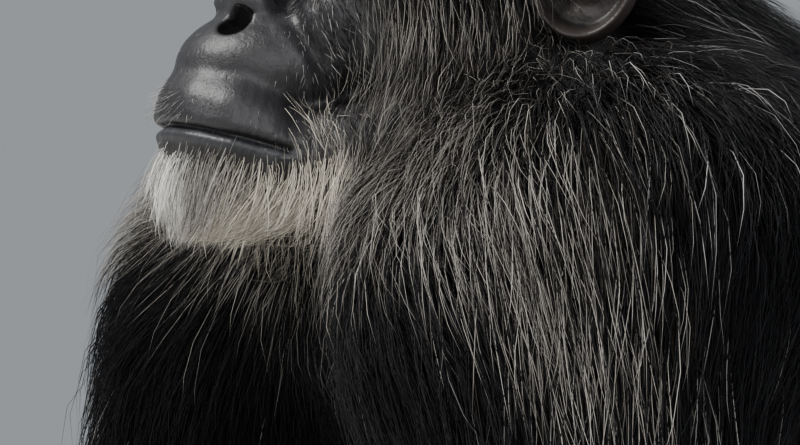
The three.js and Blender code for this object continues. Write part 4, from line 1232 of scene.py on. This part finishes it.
# Where short hair grows: brow, cheeks, a little on the muzzle, and the backs of hands and feet
def short_hair_weight(corners):
    middles = corners.mean(1)
    f, u = from_ear(middles)
    bare_face = (f > 40) & (u > -100) & (u < 66)
    clear = ~near_eyes_or_nostrils(middles) & (near_line(middles, mouth_line()) > 5)
    tip = smooth(f, 142, 146) * smooth(u, -36, -42) * smooth(u, -64, -60)
    on_muzzle_side = smooth(f, 88, 108) * smooth(u, 10, -4)
    weight = bare_face * clear * mix(1.0, 0.06 + 0.5 * tip, on_muzzle_side) * (1 - 0.9 * hairiness(middles))
    high = middles[:, 2] - ground[2]
    limb = (high < 96) & (blend(extremities, middles, 5) < 4) & (middles[:, 1] < ground[1] - 190)
    bones = [rod(m, n, 14) for points, _, _ in digits for m, n in zip(points, points[1:])]
    fingers = np.min([distance(bone, middles) for bone in bones], axis=0) < 2
    return weight + limb * ~fingers * smooth(facing(corners)[:, 2], 0.1, 0.5) * 0.5


def build_short_hair(skin, material):
    corners = triangle_corners(skin)
    roots, normals = scatter(corners, short_hair_weight(corners), int(SHORT["tufts"] * SHARE))
    n = len(roots)
    f, u = from_ear(roots)
    side = np.sign(roots[:, 0] - ear[0])[:, None]
    brow = smooth(u, 26, 40)[:, None]
    muzzle = smooth(f, 84, 104) * smooth(u, 6, -8)
    tip = smooth(f, 140, 146) * smooth(u, -34, -40)
    low = roots[:, 2] < ground[2] + 100
    way = mix(np.array([0, 0.3, -1.0]), np.array([0, -0.25, -1.0]), muzzle[:, None])
    way = mix(way, np.array([0, 0.7, 1.0]), brow) + side * np.array([0.5, 0, 0])
    way = np.where(low[:, None], np.array([0, -1, -0.3]), way) + rng.normal(0, 0.25, (n, 3))
    way = unit(way - normals * np.einsum("ij,ij->i", way, normals)[:, None])
    length = rng.uniform(0.6, 1.3, n) * np.where(low, 12, mix(8, 5, muzzle))
    t = np.linspace(0, 1, SHORT["rings"])[None, :, None]
    path = (roots - normals * 0.6)[:, None] + way[:, None] * length[:, None, None] * t
    path += normals[:, None] * (length * rng.uniform(0.2, 0.45, n))[:, None, None] * t**0.8
    path += normals[:, None] * (length * 0.7 * tip)[:, None, None] * t
    pale = rng.random(n) < np.maximum(mix(0.12, 0.45, muzzle), tip) * ~low
    colour = np.where(pale[:, None], mix(TAUPE, WHITE, rng.random(n)[:, None]), BLACK * 1.5)
    normals, tint = (np.repeat(v[:, None], SHORT["rings"], axis=1) for v in (normals, colour))
    size = rng.uniform(0.2, 0.4, n) * mix(1, 0.6, muzzle)
    weave("short_hair", roots, path, normals, size, tint, material)


# Floor, camera and light
CAMERA_AWAY, LENS, SENSOR = 2437, 259, 36
# The near ear's opening, and how far the picture's middle lies forward of it and below it
OPENING, FORWARD_OF_EAR, BELOW_EAR = 68, 61.4, 100.6


def place_camera():
    opening = ear + [OPENING, 0, 0]
    centre = opening - VIEW_RIGHT * FORWARD_OF_EAR - np.array([0, 0, BELOW_EAR])
    data = bpy.data.cameras.new("camera")
    data.lens, data.sensor_width = LENS, SENSOR
    camera = stand("camera", data)
    camera.location = Vector((centre + VIEW_FROM * CAMERA_AWAY) * MM)
    camera.rotation_euler = Vector(-VIEW_FROM).to_track_quat("-Z", "Y").to_euler()
    bpy.context.scene.camera = camera


def place_light(name, where, aim, size, power, colour=(1, 1, 1)):
    data = bpy.data.lights.new(name, "AREA")
    data.shape, data.size, data.energy, data.color = "DISK", size, power, colour
    lamp = stand(name, data)
    lamp.location = where
    lamp.rotation_euler = (Vector(aim) - Vector(where)).to_track_quat("-Z", "Y").to_euler()


def build_stage():
    bm = bmesh.new()
    bmesh.ops.create_grid(bm, x_segments=1, y_segments=1, size=8)
    floor = stand("floor", mesh_of(bm, "floor"))
    material, _, shader = new_material("floor", 0.8, 0.2)
    shader.inputs["Base Color"].default_value = (0.6, 0.6, 0.58, 1)
    floor.data.materials.append(material)


def light_world():
    world = bpy.context.scene.world or bpy.data.worlds.new("world")
    bpy.context.scene.world = world
    world.use_nodes = True
    sky = world.node_tree.nodes["Background"]
    sky.inputs["Color"].default_value = (0.8, 0.85, 0.9, 1)
    sky.inputs["Strength"].default_value = 0.4


# The animal
BOTH_SIDES = ("upper_arm", "forearm", "hand", "thigh", "shin", "foot", "seat_pad", "thumb", "finger_index",
              "finger_middle", "finger_ring", "finger_little", "toe_second", "toe_third", "toe_fourth",
              "toe_fifth", "toe_great")
mottle = mottle_group()
skin_look, coat_look, eye_look = skin_material(), coat_material(), eye_material()
skin_mesh = build_skin()
limb_nodes = [f"{name}_{side}" for side in ("left", "right") for name in BOTH_SIDES]
show("skin", skin_mesh, skin_look, ("head", "neck", "chest", "belly", *limb_nodes))
for side, s in (("left", 1), ("right", -1)):
    show("ear_skin_" + side, build_ear(side, s), skin_look, ("ear_" + side,))
    show("eyeball_" + side, build_eye(side, s), eye_look, ("eye_" + side,))
show("nails", build_nails(), nail_material(), ())
points = points_of(skin_mesh)
body_grid = Grid(coat_surface, points.min(0) - 42, points.max(0) + 42, 6.0)
build_coat(body_grid, coat_look)
build_short_hair(skin_mesh, coat_look)

place_camera()
place_light("key", where=(-0.2, -2.2, 3.3), aim=(0, -0.15, 0.5), size=1.0, power=215, colour=(1, 0.98, 0.95))
place_light("side", where=(2.6, -0.4, 1.5), aim=(0, 0, 0.5), size=2.0, power=44)
place_light("rim", where=(-1.0, 1.8, 1.9), aim=(0, 0, 0.6), size=0.8, power=19)
light_world()
build_stage()
